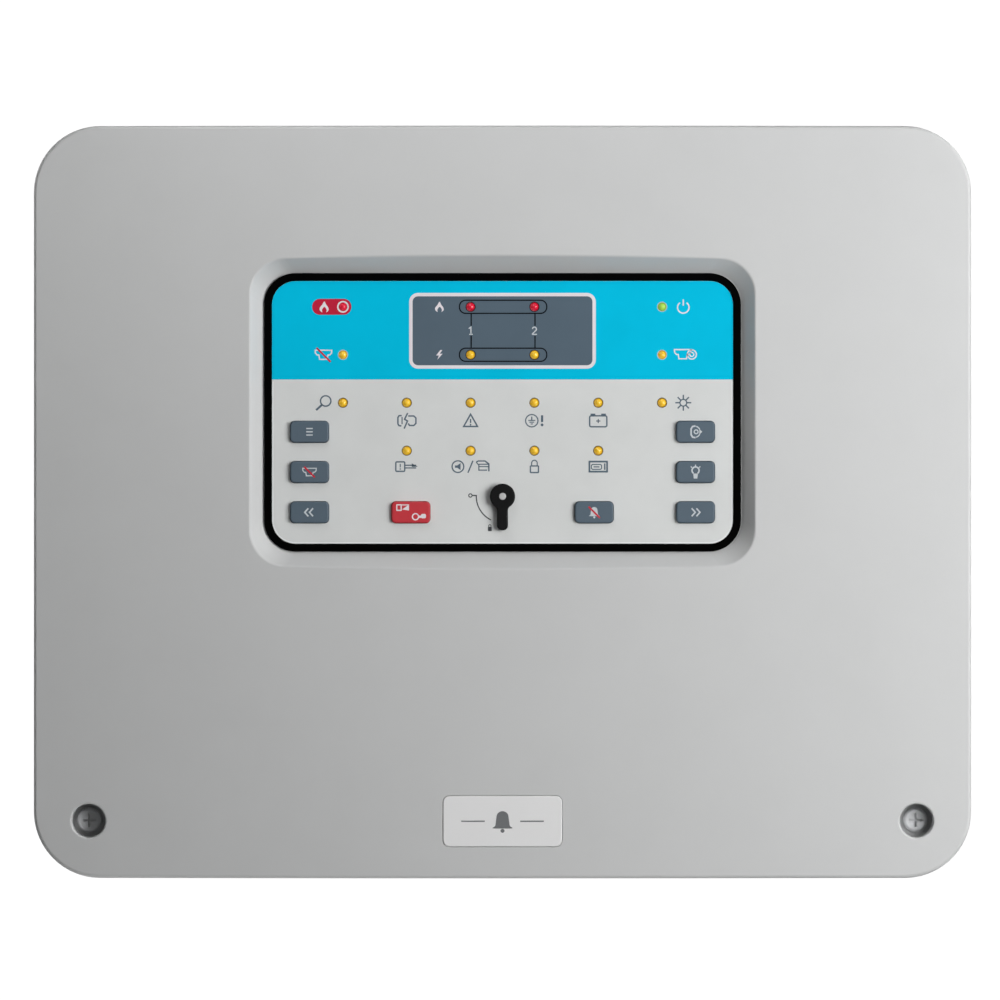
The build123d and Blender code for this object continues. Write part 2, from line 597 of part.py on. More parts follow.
def battery(side):
    """Sealed lead-acid battery: a case with a slightly smaller lid."""
    x = side * (BATTERY_W + BATTERY_GAP) / 2
    x0, x1 = x - BATTERY_W / 2, x + BATTERY_W / 2
    front = BATTERY_BACK + BATTERY_D
    lid_z, top = TRAY_TOP + BATTERY_H - 9.0, TRAY_TOP + BATTERY_H
    case = block(x0, x1, BATTERY_BACK, front, TRAY_TOP + 0.05, lid_z)
    case = fillet(case.edges().filter_by(Axis.Z), 2.0)
    lid = block(x0 + 0.6, x1 - 0.6, BATTERY_BACK + 0.6, front - 0.6, lid_z, top)
    lid = fillet(lid.edges().filter_by(Axis.Z), 2.0)
    lid = chamfer(lid.faces().sort_by(Axis.Z)[-1].edges(), 0.8)
    for offset in TAB_X:
        lid -= block(x + offset - 6.5, x + offset + 6.5, TAB_DEPTH - 4.5, front + 1, top - 2.0, top + 1)
    return case + lid


def tab_places():
    """X of every battery tab, from left to right."""
    middles = [side * (BATTERY_W + BATTERY_GAP) / 2 for side in (-1, 1)]
    return [middle + offset for middle in middles for offset in TAB_X]


BATTERY_TOP = TRAY_TOP + BATTERY_H - 2.0  # the floor of the pockets that the tabs stand in


def battery_tabs():
    return group([
        block(x - TAB_W / 2, x + TAB_W / 2, TAB_DEPTH - TAB_T / 2, TAB_DEPTH + TAB_T / 2,
              BATTERY_TOP, BATTERY_TOP + TAB_H)
        for x in tab_places()
    ])


def battery_boots(places):
    """Insulated push-on connectors over the tabs."""
    boots = []
    for x in places:
        z0 = BATTERY_TOP + 1.0
        outline = rounded(BOOT_W, BOOT_D, 1.6)
        boot = extrude(Plane(origin=(x, -TAB_DEPTH, z0), z_dir=(0, 0, 1)) * outline, amount=BOOT_H)
        boot = chamfer(boot.faces().sort_by(Axis.Z)[-1].edges(), 0.7)
        slot = block(x - TAB_W / 2 - 0.1, x + TAB_W / 2 + 0.1, TAB_DEPTH - 0.5, TAB_DEPTH + 0.5,
                     z0 - 1, BATTERY_TOP + TAB_H + 0.2)
        boots.append(boot - slot)
    return group(boots)


def main_board():
    middle_x, middle_z = (MAIN_X0 + MAIN_X1) / 2, (MAIN_Z0 + MAIN_Z1) / 2
    outline = rounded(MAIN_X1 - MAIN_X0, MAIN_Z1 - MAIN_Z0, 2.0, middle_x, middle_z)
    for x, z in MAIN_BOSSES:
        outline -= Pos(x, z) * Circle(SCREW_R + 0.2)
    return slab(outline, MAIN_REAR, MAIN_FACE)


def box_screws():
    """The M3 screws of the main board, the battery tray and the power supply."""
    screws = [inner_screw(x, z, MAIN_FACE) for x, z in MAIN_BOSSES]
    screws += [inner_screw(x, TRAY_SCREW_Z, 6.0 + TRAY_T) for x in TRAY_TABS]
    for x, z in SUPPLY_EARS:
        screws.append(inner_screw(x, z, SUPPLY_BACK + SUPPLY_SHEET))
    return group(screws)


def terminal_ways(ways, middle):
    """X of each way of a terminal block."""
    return [middle + (i - (ways - 1) / 2) * TERMINAL_PITCH for i in range(ways)]


TERMINAL_BLOCKS = [(ZONE_BLOCK_WAYS, x, ZONE_BLOCK_Z, 1) for x in ZONE_BLOCK_X]
TERMINAL_BLOCKS.append((POWER_BLOCK_WAYS, POWER_BLOCK_X, POWER_BLOCK_Z, -1))


def terminal_block(ways, middle, z, facing):
    """Screw terminal block: wire mouths face up or down, screw wells face forward."""
    half = ways * TERMINAL_PITCH / 2
    front = MAIN_FACE + TERMINAL_H
    body = block(middle - half, middle + half, MAIN_FACE, front, z - TERMINAL_D / 2, z + TERMINAL_D / 2)
    body = chamfer(body.edges().filter_by(Axis.X).sort_by(Axis.Y)[:2], 1.2)
    mouth = z + facing * TERMINAL_D / 2
    for x in terminal_ways(ways, middle):
        z0, z1 = sorted((mouth - facing * 3.5, mouth + facing))
        body -= block(x - 1.7, x + 1.7, MAIN_FACE + 1.6, MAIN_FACE + 5.0, z0, z1)
        body -= disc(x, z, 1.9, front - 2.6, front + 1)
    return body


def terminal_blocks():
    return group([terminal_block(*place) for place in TERMINAL_BLOCKS])


def terminal_screws():
    """Slotted clamp screws, one in each way."""
    screws = []
    for ways, middle, z, _ in TERMINAL_BLOCKS:
        front = MAIN_FACE + TERMINAL_H
        for x in terminal_ways(ways, middle):
            head = disc(x, z, 1.7, front - 2.6, front - 1.0)
            screws.append(head - block(x - 2, x + 2, front - 1.7, front, z - 0.25, z + 0.25))
    return group(screws)


def relays():
    """Three sealed relays for the sounder and fire outputs."""
    bodies = []
    for x in (-128.0, -104.0, -80.0):
        body = block(x - 9.5, x + 9.5, MAIN_FACE, MAIN_FACE + 15.3, 60.0, 75.5)
        bodies.append(fillet(body.edges().filter_by(Axis.Y), 1.0))
    return group(bodies)


def capacitors():
    """Electrolytic cans standing on the main board."""
    cans = []
    for x, z, radius, height in ((-20.0, 30.0, 8.0, 22.0), (-38.0, 30.0, 6.5, 20.0), (0.0, 28.0, 5.0, 16.0),
                                 (12.0, 28.0, 5.0, 16.0), (-52.0, 46.0, 4.0, 12.0)):
        can = disc(x, z, radius, MAIN_FACE, MAIN_FACE + height)
        cans.append(fillet(can.faces().sort_by(Axis.Y)[0].edges(), 0.6))
    return group(cans)


def board_fuses():
    """Covered holders of the two battery and output fuses."""
    holders = []
    for z in (30.0, 44.0):
        body = block(-142.0, -119.0, MAIN_FACE, MAIN_FACE + 10.5, z - 4.5, z + 4.5)
        holders.append(fillet(body.edges().filter_by(Axis.X).sort_by(Axis.Y)[:2], 3.0))
    return group(holders)


def logic_chips():
    places = [(-24.0, 64.0, 14.0, 14.0), (-50.0, 66.0, 10.2, 6.0), (-50.0, 80.0, 10.2, 6.0)]
    places += [(6.0, 56.0, 10.2, 6.0), (-98.0, 42.0, 8.0, 5.0)]
    return group([slab(rounded(w, h, 0.5, x, z), MAIN_FACE, MAIN_FACE + 1.9) for x, z, w, h in places])


def ribbon_cable():
    """Flat cable: up from each socket and over in a loop below the hinge, so that the cover can swing."""
    display_exit = DISPLAY_REAR - HEADER_H - SOCKET_H / 2
    main_exit = MAIN_FACE + HEADER_H + SOCKET_H / 2
    points = [
        (display_exit, DISPLAY_HEADER_Z + HEADER_D / 2 - 1.0),
        (display_exit, 103.0),
        (display_exit - 9.0, 112.5),
        (main_exit + 10.0, 112.5),
        (main_exit, 103.0),
        (main_exit, MAIN_HEADER_Z + HEADER_D / 2 - 1.0),
    ]
    path = FilletPolyline(*[(RIBBON_X, -depth, z) for depth, z in points], radius=5.0)
    section = Plane(origin=path @ 0, x_dir=(1, 0, 0), z_dir=path % 0) * Rectangle(RIBBON_W, RIBBON_T)
    return sweep(section, path=path)


def supply_base():
    """Folded aluminium base of the power supply, with four ears for its screws."""
    t = SUPPLY_SHEET
    base = block(SUPPLY_X0, SUPPLY_X1, SUPPLY_BACK, SUPPLY_BACK + t, SUPPLY_Z0, SUPPLY_Z1)
    side_front = SUPPLY_FRONT - 1.0
    base += block(SUPPLY_X0, SUPPLY_X1, SUPPLY_BACK, side_front, SUPPLY_Z0, SUPPLY_Z0 + t)
    base += block(SUPPLY_X0, SUPPLY_X1, SUPPLY_BACK, side_front, SUPPLY_Z1 - t, SUPPLY_Z1)
    for x, z in SUPPLY_EARS:
        z0, z1 = (z - 4.0, SUPPLY_Z0 + 1) if z < SUPPLY_Z0 else (SUPPLY_Z1 - 1, z + 4.0)
        base += block(x - 6, x + 6, SUPPLY_BACK, SUPPLY_BACK + t, z0, z1)
        base -= disc(x, z, SCREW_R + 0.2, SUPPLY_BACK - 1, SUPPLY_BACK + t + 1)
    return base


def supply_cover():
    """Perforated steel lid of the power supply, folded down at its ends."""
    t, pitch, rows, hole_r = 0.8, 9.0, 8, 2.3
    plate = Rectangle(SUPPLY_X1 - SUPPLY_COVER_X, SUPPLY_Z1 - SUPPLY_Z0)
    plate -= GridLocations(pitch, pitch, rows, rows) * Circle(hole_r)
    plate = Pos((SUPPLY_COVER_X + SUPPLY_X1) / 2, (SUPPLY_Z0 + SUPPLY_Z1) / 2) * plate
    lid = slab(plate, SUPPLY_FRONT - t, SUPPLY_FRONT)
    z0, z1 = SUPPLY_Z0 + SUPPLY_SHEET + 0.1, SUPPLY_Z1 - SUPPLY_SHEET - 0.1
    lid += block(SUPPLY_X1 - t, SUPPLY_X1, SUPPLY_BACK + SUPPLY_SHEET + 0.1, SUPPLY_FRONT, z0, z1)
    lid += block(SUPPLY_COVER_X, SUPPLY_COVER_X + t, SUPPLY_FRONT - 9, SUPPLY_FRONT, z0, z1)
    return lid


def supply_board():
    return block(SUPPLY_X0 + 1, SUPPLY_X1 - 3, SUPPLY_BOARD_REAR, SUPPLY_FACE, SUPPLY_Z0 + 2, SUPPLY_Z1 - 2)


def supply_components():
    """Transformer, choke and smoothing cans inside the power supply."""
    face = SUPPLY_FACE
    parts = [fillet(block(92, 120, face, face + 19, 30, 56).edges().filter_by(Axis.Y), 1.5)]
    parts.append(fillet(block(70, 86, face, face + 14, 14, 30).edges().filter_by(Axis.Y), 1.5))
    for x, z, radius, height in ((132.0, 24.0, 9.0, 18.0), (74.0, 66.0, 6.0, 16.0), (74.0, 50.0, 6.0, 16.0)):
        parts.append(disc(x, z, radius, face, face + height))
    return group(parts)


def supply_terminals():
    """Five-way barrier strip at the open end of the power supply."""
    strip = block(STRIP_X0, STRIP_X1, SUPPLY_FACE, SUPPLY_FACE + STRIP_H, STRIP_Z0, STRIP_Z1)
    half_rib = STRIP_RIB / 2
    for i in range(STRIP_WAYS + 1):
        z = STRIP_Z0 + half_rib + i * strip_pitch()
        strip += block(STRIP_X0, STRIP_X1, SUPPLY_FACE, SUPPLY_FACE + 11.5, z - half_rib, z + half_rib)
    return strip


def strip_pitch():
    return (STRIP_Z1 - STRIP_Z0 - STRIP_RIB) / STRIP_WAYS


def supply_terminal_screws():
    """Clamp screws of the barrier strip."""
    front, screws = SUPPLY_FACE + STRIP_H, []
    for z in supply_terminal_places():
        head = disc(STRIP_SCREW_X, z, 3.0, front, front + 2.0)
        screws.append(head - cross_recess(STRIP_SCREW_X, z, front + 2.0, 2.0, 0.5, 0.9))
    return group(screws)


def supply_terminal_places():
    """Z of each way of the barrier strip, from the bottom."""
    return [STRIP_Z0 + STRIP_RIB / 2 + (i + 0.5) * strip_pitch() for i in range(STRIP_WAYS)]


def mains_block():
    """Three-way mains terminal block on the back wall."""
    x, z = MAINS_X, MAINS_Z
    body = block(x - 18, x + 18, WALL, 17.0, z - 9, z + 9)
    body = fillet(body.edges().filter_by(Axis.Y), 1.0)
    for i in range(3):
        way = x + (i - 1) * MAINS_PITCH
        body -= block(way - 4.2, way + 4.2, 11.0, 18.0, z + 1.0, z + 10.0)
        body -= block(way - 4.2, way + 4.2, 11.0, 18.0, z - 10.0, z - 1.0)
    return body


def mains_terminal_screws():
    """Two clamp screws for each way of the mains block."""
    screws = []
    for i in range(3):
        for z in (MAINS_Z - 4.8, MAINS_Z + 4.8):
            x = MAINS_X + (i - 1) * MAINS_PITCH
            head = disc(x, z, 2.8, 11.0, 13.0)
            screws.append(head - cross_recess(x, z, 13.0, 1.9, 0.5, 0.9))
    return group(screws)


def earth_stud():
    """Earth stud with its washer and hexagon nut."""
    stud = disc(EARTH_X, EARTH_Z, 2.0, 0.8, 17.0)
    stud = chamfer(stud.faces().sort_by(Axis.Y)[0].edges(), 0.4)
    washer = slab(Pos(EARTH_X, EARTH_Z) * (Circle(4.5) - Circle(2.05)), WALL, WALL + 1.0)
    nut = slab(Pos(EARTH_X, EARTH_Z) * (RegularPolygon(4.0, 6) - Circle(2.05)), WALL + 3.0, WALL + 6.2)
    return group([stud, washer, nut])


def earth_tag():
    """Ring of the earth lead, clamped between the washer and the nut."""
    ring = Pos(EARTH_X, EARTH_Z) * (Circle(4.2) - Circle(2.1))
    tag = slab(ring, WALL + 1.0, WALL + 3.0)
    return tag + block(EARTH_X - 12.0, EARTH_X - 3.2, WALL + 1.0, WALL + 3.0, EARTH_Z - 1.5, EARTH_Z + 1.5)


# ---------------------------------------------------------------- internal leads
def lead(points, radius=LEAD_R):
    """A round insulated lead through points of X, depth and Z, each bend as wide as its runs allow."""
    corners = [Vector(x, -depth, z) for x, depth, z in points]
    runs = [b - a for a, b in zip(corners, corners[1:])]
    bends = []
    for first, second in zip(runs, runs[1:]):
        half_turn = math.radians(first.get_angle(second)) / 2
        bends.append(0.45 * min(first.length, second.length) / math.tan(half_turn))
    path = FilletPolyline(*corners, radius=bends)
    section = Plane(origin=path @ 0, z_dir=path % 0) * Circle(radius)
    tube = sweep(section, path=path)
    print("lead of", round(path.length, 1), "mm, bends", [round(bend, 1) for bend in bends],
          "volume over section times length", round(tube.volume / (math.pi * radius**2 * path.length), 3))
    return tube


def power_way(i):
    """X of a way of the power terminal block."""
    return terminal_ways(POWER_BLOCK_WAYS, POWER_BLOCK_X)[i]


LEAD_START = BATTERY_TOP + 1.0 + BOOT_H
POWER_MOUTH = POWER_BLOCK_Z - TERMINAL_D / 2 + 2.5
WIRE_DEPTH = MAIN_FACE + 3.3
STRIP_X, STRIP_DEPTH = 51.6, 18.9
MAINS_MOUTH_DEPTH, MAINS_MOUTH_Z = 12.3, MAINS_Z - 7.8


def red_leads():
    """Battery positive and supply positive to the main board."""
    x, end = tab_places()[0], power_way(0)
    battery_lead = lead([
        (x, TAB_DEPTH, LEAD_START), (x, TAB_DEPTH, 21.0), (x + 4, 50.0, 32.0), (x + 12, 32.0, 26.0),
        (x + 26, 22.0, 10.0), (x + 40, WIRE_DEPTH + 2, -0.5), (end - 6, WIRE_DEPTH + 0.5, -2.5),
        (end, WIRE_DEPTH, 4.5), (end, WIRE_DEPTH, POWER_MOUTH),
    ])
    z, end = supply_terminal_places()[0], power_way(2)
    supply_lead = lead([
        (STRIP_X, STRIP_DEPTH, z), (45.2, STRIP_DEPTH, z), (45.2, 16.0, -3.6),
        (end, WIRE_DEPTH, -3.6), (end, WIRE_DEPTH, POWER_MOUTH),
    ])
    return group([battery_lead, supply_lead])


def black_leads():
    """Battery negative and supply negative to the main board, and the link between the batteries."""
    x, end = tab_places()[3], power_way(1)
    battery_lead = lead([
        (x, TAB_DEPTH, LEAD_START), (x, TAB_DEPTH, 17.0), (x - 14, 50.0, 19.0), (x - 60, 43.0, 8.0),
        (30.0, 30.0, -3.6), (0.0, 19.0, -3.6), (end, 19.0, -3.6), (end, WIRE_DEPTH, 3.0),
        (end, WIRE_DEPTH, POWER_MOUTH),
    ])
    z, end = supply_terminal_places()[1], power_way(3)
    supply_lead = lead([
        (STRIP_X, STRIP_DEPTH, z), (41.6, STRIP_DEPTH, z), (41.6, 16.0, -0.3),
        (end, WIRE_DEPTH, -0.3), (end, WIRE_DEPTH, POWER_MOUTH),
    ])
    left, right = tab_places()[1], tab_places()[2]
    link = lead([
        (left, TAB_DEPTH, LEAD_START), (left, TAB_DEPTH, 17.0), (left + 6, TAB_DEPTH - 3, 23.0),
        (right - 6, TAB_DEPTH - 3, 23.0), (right, TAB_DEPTH, 17.0), (right, TAB_DEPTH, LEAD_START),
    ])
    return group([battery_lead, supply_lead, link])


def brown_lead():
    """Mains live, from the mains block round to the barrier strip of the supply."""
    x, z = MAINS_X - MAINS_PITCH, supply_terminal_places()[4]
    return lead([
        (x, MAINS_MOUTH_DEPTH, MAINS_MOUTH_Z), (x, 13.5, 92.5), (44.8, 17.0, 89.5),
        (44.8, STRIP_DEPTH, z), (STRIP_X, STRIP_DEPTH, z),
    ])


def blue_lead():
    """Mains neutral, in front of the live."""
    x, z = MAINS_X, supply_terminal_places()[3]
    return lead([
        (x, MAINS_MOUTH_DEPTH, MAINS_MOUTH_Z), (x, MAINS_MOUTH_DEPTH + 0.3, 94.6), (x, 19.0, 91.8),
        (41.3, 24.0, 92.0),
        (41.3, STRIP_DEPTH, z), (STRIP_X, STRIP_DEPTH, z),
    ])


def earth_lead():
    """Earth, from the mains block to the tag on the earth stud."""
    x = MAINS_X + MAINS_PITCH
    return lead([
        (x, MAINS_MOUTH_DEPTH, MAINS_MOUTH_Z), (x, MAINS_MOUTH_DEPTH, 92.8), (x + 15, 9.0, 92.8),
        (x + 27, WALL + 2.2, EARTH_Z), (EARTH_X - 12, WALL + 2.0, EARTH_Z),
    ])


# ---------------------------------------------------------------- assembly
def build():
    tabs = tab_places()
    nodes = {
        "front_cover": front_cover(),
        "display_bezel": display_bezel(),
        "overlay_panel": overlay_panel(),
        "yellow_leds": group([indicator(x, z) for x, z in led_places(YELLOW_LEDS)]),
        "red_leds": group([indicator(x, z) for x, z in led_places(RED_LEDS)]),
        "green_led": group([indicator(x, z) for x, z in led_places(GREEN_LEDS)]),
        "led_spacers": led_spacers(),
        "display_board": display_board(),
        "display_board_screws": display_board_screws(),
        "tact_switches": tact_switches(),
        "key_switch": key_switch(),
        "key_lever": key_lever(),
        "key_pin": key_pin(),
        "display_chips": display_chips(),
        "buzzer": buzzer(),
        "display_socket": ribbon_socket(DISPLAY_HEADER_Z, DISPLAY_REAR, -1),
        "badge_plate": badge_plate(),
        "cover_screw_left": cover_screw(-1),
        "cover_screw_right": cover_screw(1),
        "screw_retainers": screw_retainers(),
        "back_box": back_box(),
        "hinge_pins": hinge_pins(),
        "post_inserts": post_inserts(),
        "battery_tray": battery_tray(),
        "battery_left": battery(-1),
        "battery_right": battery(1),
        "battery_tabs": battery_tabs(),
        "red_boots": battery_boots([tabs[0], tabs[2]]),
        "black_boots": battery_boots([tabs[1], tabs[3]]),
        "main_board": main_board(),
        "box_screws": box_screws(),
        "terminal_blocks": terminal_blocks(),
        "terminal_screws": terminal_screws(),
        "relays": relays(),
        "capacitors": capacitors(),
        "board_fuses": board_fuses(),
        "logic_chips": logic_chips(),
        "main_socket": ribbon_socket(MAIN_HEADER_Z, MAIN_FACE, 1),
        "ribbon_cable": ribbon_cable(),
        "supply_base": supply_base(),
        "supply_cover": supply_cover(),
        "supply_board": supply_board(),
        "supply_components": supply_components(),
        "supply_terminals": supply_terminals(),
        "mains_block": mains_block(),
        "mains_terminal_screws": group([mains_terminal_screws(), supply_terminal_screws()]),
        "earth_stud": earth_stud(),
        "red_wires": red_leads(),
        "black_wires": black_leads(),
        "brown_wire": brown_lead(),
        "blue_wire": blue_lead(),
    }
    nodes["earth_wire"] = group([earth_lead(), earth_tag()])
    for name in BUTTONS:
        nodes[name] = push_button(name)
    return nodes


def main():
    os.makedirs("parts", exist_ok=True)
    for name, shape in build().items():
        export_step(shape, os.path.join("parts", name + ".step"))


if __name__ == "__main__":
    main()
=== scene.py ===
"""Looks of a wall-mounted fire alarm control panel: prints, finishes and small parts around the CAD frame.

Everything is in metres in the row frame: X to the right, Y into the wall, Z up. The prints are drawn in
millimetres in X and Z, as they are seen from the front, and film() turns them into thin closed layers.
"""

import json
import math
import random

import bmesh
import bpy
from mathutils import Matrix, Vector
from mathutils.geometry import tessellate_polygon

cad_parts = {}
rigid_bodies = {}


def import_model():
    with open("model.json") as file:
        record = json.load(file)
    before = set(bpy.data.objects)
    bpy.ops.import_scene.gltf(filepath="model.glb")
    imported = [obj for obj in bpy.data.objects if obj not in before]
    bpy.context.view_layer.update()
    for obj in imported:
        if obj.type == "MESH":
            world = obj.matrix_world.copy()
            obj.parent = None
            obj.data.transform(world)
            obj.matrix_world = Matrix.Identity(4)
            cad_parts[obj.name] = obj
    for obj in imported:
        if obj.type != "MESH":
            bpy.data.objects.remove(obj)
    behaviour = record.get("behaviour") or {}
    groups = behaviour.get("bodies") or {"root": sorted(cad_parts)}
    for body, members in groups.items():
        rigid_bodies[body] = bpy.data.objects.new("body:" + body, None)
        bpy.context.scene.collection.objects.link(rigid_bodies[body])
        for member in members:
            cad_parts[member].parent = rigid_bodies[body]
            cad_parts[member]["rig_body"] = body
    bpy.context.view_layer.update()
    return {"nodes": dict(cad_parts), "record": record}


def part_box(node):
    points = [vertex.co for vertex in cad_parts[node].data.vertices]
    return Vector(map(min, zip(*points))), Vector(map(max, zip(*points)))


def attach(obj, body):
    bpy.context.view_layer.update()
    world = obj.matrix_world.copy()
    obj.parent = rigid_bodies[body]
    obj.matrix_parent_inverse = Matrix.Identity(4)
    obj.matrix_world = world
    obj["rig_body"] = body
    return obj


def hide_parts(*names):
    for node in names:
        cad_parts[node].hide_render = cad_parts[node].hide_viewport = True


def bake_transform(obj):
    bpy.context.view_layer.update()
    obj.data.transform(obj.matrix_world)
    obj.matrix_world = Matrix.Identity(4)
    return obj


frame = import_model()
MM = 0.001
BOX, COVER = "box", "cover"

# ---------------------------------------------------------------- camera, light and stage
FRAME_WIDTH = 0.3386  # metres across the picture at the front face
FRAME_SHIFT = (-0.00085, 0.00067)
CAMERA_REACH = 3.5
SENSOR = 36.0


def add_camera():
    """A long lens straight in front of the panel."""
    camera = bpy.data.objects.new("camera", bpy.data.cameras.new("camera"))
    bpy.context.scene.collection.objects.link(camera)
    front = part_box("front_cover")[0].y
    camera.location = (FRAME_SHIFT[0], front - CAMERA_REACH, FRAME_SHIFT[1])
    camera.rotation_euler = (math.radians(90), 0, 0)
    camera.data.sensor_width = SENSOR
    camera.data.lens = SENSOR * CAMERA_REACH / FRAME_WIDTH
    camera.data.clip_end = 50
    bpy.context.scene.camera = camera


def area_light(name, place, target, size, power):
    """A soft square light at place, turned to target."""
    lamp = bpy.data.lights.new(name, "AREA")
    lamp.shape = "SQUARE"
    lamp.size = size
    lamp.energy = power
    obj = bpy.data.objects.new(name, lamp)
    bpy.context.scene.collection.objects.link(obj)
    obj.location = place
    obj.rotation_euler = (Vector(target) - Vector(place)).to_track_quat("-Z", "Y").to_euler()


def add_lights():
    """A key from the right, a weak light above the face, and soft lights for the sides and the back."""
    area_light("key", (0.64, -0.74, 0.09), (0.0, -0.09, 0.0), 0.6, 8.5)
    area_light("top", (-0.1, -0.27, 0.32), (-0.05, -0.09, 0.0), 0.14, 0.26)
    area_light("low", (-0.35, 0.1, -1.1), (0, 0, 0), 0.8, 5.0)
    area_light("side_left", (-1.4, 0.75, 0.35), (0, 0, 0), 0.6, 9.0)
    area_light("back_right", (1.3, 1.2, 0.9), (0, 0, 0), 1.0, 12.0)
    area_light("back_left", (-0.9, 1.4, 0.9), (0, 0, 0), 1.0, 9.0)
    world = bpy.data.worlds.new("studio")
    world.use_nodes = True
    background = world.node_tree.nodes["Background"]
    background.inputs["Color"].default_value = (1.0, 1.0, 1.0, 1)
    background.inputs["Strength"].default_value = 0.06
    bpy.context.scene.world = world
    bpy.context.scene.view_settings.view_transform = "Standard"


def add_stage():
    """A pale floor far below the panel and white walls round it, all beyond where any view is taken from."""
    reach, low, high = 9.0, -4.2, 9.0
    corners = [(-reach, -reach), (reach, -reach), (reach, reach), (-reach, reach)]
    floor = mesh_object("floor", [(x, y, low) for x, y in corners], [(0, 1, 2, 3)])
    pale = bpy.data.materials.new("floor_paint")
    pale.use_nodes = True
    tree = Tree(pale)
    tint = tree.scale_map(tree.noise(2.0, 3), (0.80, 0.80, 0.80, 1), (0.84, 0.84, 0.84, 1))
    tree.feed("Base Color", tint)
    tree.shader.inputs["Roughness"].default_value = 0.8
    tree.shader.inputs["Emission Color"].default_value = (1, 1, 1, 1)
    tree.shader.inputs["Emission Strength"].default_value = 0.75
    floor.data.materials.append(pale)

    points = [(x, y, z) for z in (low, high) for x, y in corners]
    walls = [(i, (i + 1) % 4, (i + 1) % 4 + 4, i + 4) for i in range(4)]
    backdrop = mesh_object("backdrop", points, walls)
    white = bpy.data.materials.new("backdrop_white")
    white.use_nodes = True
    shader = white.node_tree.nodes["Principled BSDF"]
    shader.inputs["Base Color"].default_value = (0, 0, 0, 1)
    shader.inputs["Emission Color"].default_value = (1, 1, 1, 1)
    shader.inputs["Emission Strength"].default_value = 1.05
    backdrop.data.materials.append(white)
    for obj in (floor, backdrop):
        obj.visible_diffuse = False
        obj.visible_glossy = False
        obj.visible_shadow = False


def mesh_object(name, points, faces):
    mesh = bpy.data.meshes.new(name)
    mesh.from_pydata(points, [], faces)
    obj = bpy.data.objects.new(name, mesh)
    bpy.context.scene.collection.objects.link(obj)
    return obj


# ---------------------------------------------------------------- materials
class Tree:
    """A material's node tree, with short calls for what the finishes here share."""

    def __init__(self, material):
        self.tree = material.node_tree
        self.shader = self.tree.nodes["Principled BSDF"]
        self.coordinates = self.tree.nodes.new("ShaderNodeTexCoord").outputs["Object"]

    def link(self, source, target):
        self.tree.links.new(source, target)

    def feed(self, socket, source):
        self.link(source, self.shader.inputs[socket])

    def stretched(self, factors):
        """Object coordinates, scaled by three factors."""
        node = self.tree.nodes.new("ShaderNodeMapping")
        self.link(self.coordinates, node.inputs["Vector"])
        node.inputs["Scale"].default_value = factors
        return node.outputs["Vector"]

    def noise(self, size_mm, detail=2.0, rough=0.5, vector=None):
        """Noise whose patches are about size_mm across."""
        node = self.tree.nodes.new("ShaderNodeTexNoise")
        node.inputs["Scale"].default_value = 1.0 / (size_mm * MM)
        node.inputs["Detail"].default_value = detail
        node.inputs["Roughness"].default_value = rough
        self.link(vector or self.coordinates, node.inputs["Vector"])
        return node.outputs["Fac"]

    def voronoi(self, size_mm, feature="F1", metric="EUCLIDEAN", randomness=1.0, vector=None):
        node = self.tree.nodes.new("ShaderNodeTexVoronoi")
        node.feature = feature
        if feature == "F1":
            node.distance = metric
        node.inputs["Scale"].default_value = 1.0 / (size_mm * MM)
        node.inputs["Randomness"].default_value = randomness
        self.link(vector or self.coordinates, node.inputs["Vector"])
        return node.outputs["Distance"]

    def remap(self, value, low, high, to_low=0.0, to_high=1.0):
        node = self.tree.nodes.new("ShaderNodeMapRange")
        self.link(value, node.inputs["Value"])
        limits = {"From Min": low, "From Max": high, "To Min": to_low, "To Max": to_high}
        for socket, number in limits.items():
            node.inputs[socket].default_value = number
        return node.outputs["Result"]

    def mix(self, factor, first, second):
        """Mix of two colours, each a socket or four numbers."""
        node = self.tree.nodes.new("ShaderNodeMix")
        node.data_type = "RGBA"
        self.link(factor, node.inputs["Factor"])
        for name, value in (("A", first), ("B", second)):
            socket = next(s for s in node.inputs if s.name == name and s.type == "RGBA")
            if isinstance(value, tuple):
                socket.default_value = value
            else:
                self.link(value, socket)
        return next(s for s in node.outputs if s.type == "RGBA")

    def scale_map(self, value, first, second):
        """A colour that goes from first to second with a noise value."""
        return self.mix(self.remap(value, 0.3, 0.7), first, second)

    def maths(self, operation, first, second=0.0):
        node = self.tree.nodes.new("ShaderNodeMath")
        node.operation = operation
        for socket, value in zip(node.inputs, (first, second)):
            if isinstance(value, (int, float)):
                socket.default_value = value
            else:
                self.link(value, socket)
        return node.outputs["Value"]

    def part_of(self, vector, axis):
        node = self.tree.nodes.new("ShaderNodeSeparateXYZ")
        self.link(vector, node.inputs["Vector"])
        return node.outputs[axis]

    def edges(self, radius_mm):
        """The normal with its edges rounded, and a mask that is 1 on them."""
        bevel = self.tree.nodes.new("ShaderNodeBevel")
        bevel.samples = 4
        bevel.inputs["Radius"].default_value = radius_mm * MM
        geometry = self.tree.nodes.new("ShaderNodeNewGeometry")
        dot = self.tree.nodes.new("ShaderNodeVectorMath")
        dot.operation = "DOT_PRODUCT"
        self.link(bevel.outputs["Normal"], dot.inputs[0])
        self.link(geometry.outputs["True Normal"], dot.inputs[1])
        return bevel.outputs["Normal"], self.remap(dot.outputs["Value"], 0.97, 0.75)

    def bump(self, height, depth_mm, normal=None):
        node = self.tree.nodes.new("ShaderNodeBump")
        node.inputs["Distance"].default_value = depth_mm * MM
        self.link(height, node.inputs["Height"])
        if normal is not None:
            self.link(normal, node.inputs["Normal"])
        return node.outputs["Normal"]


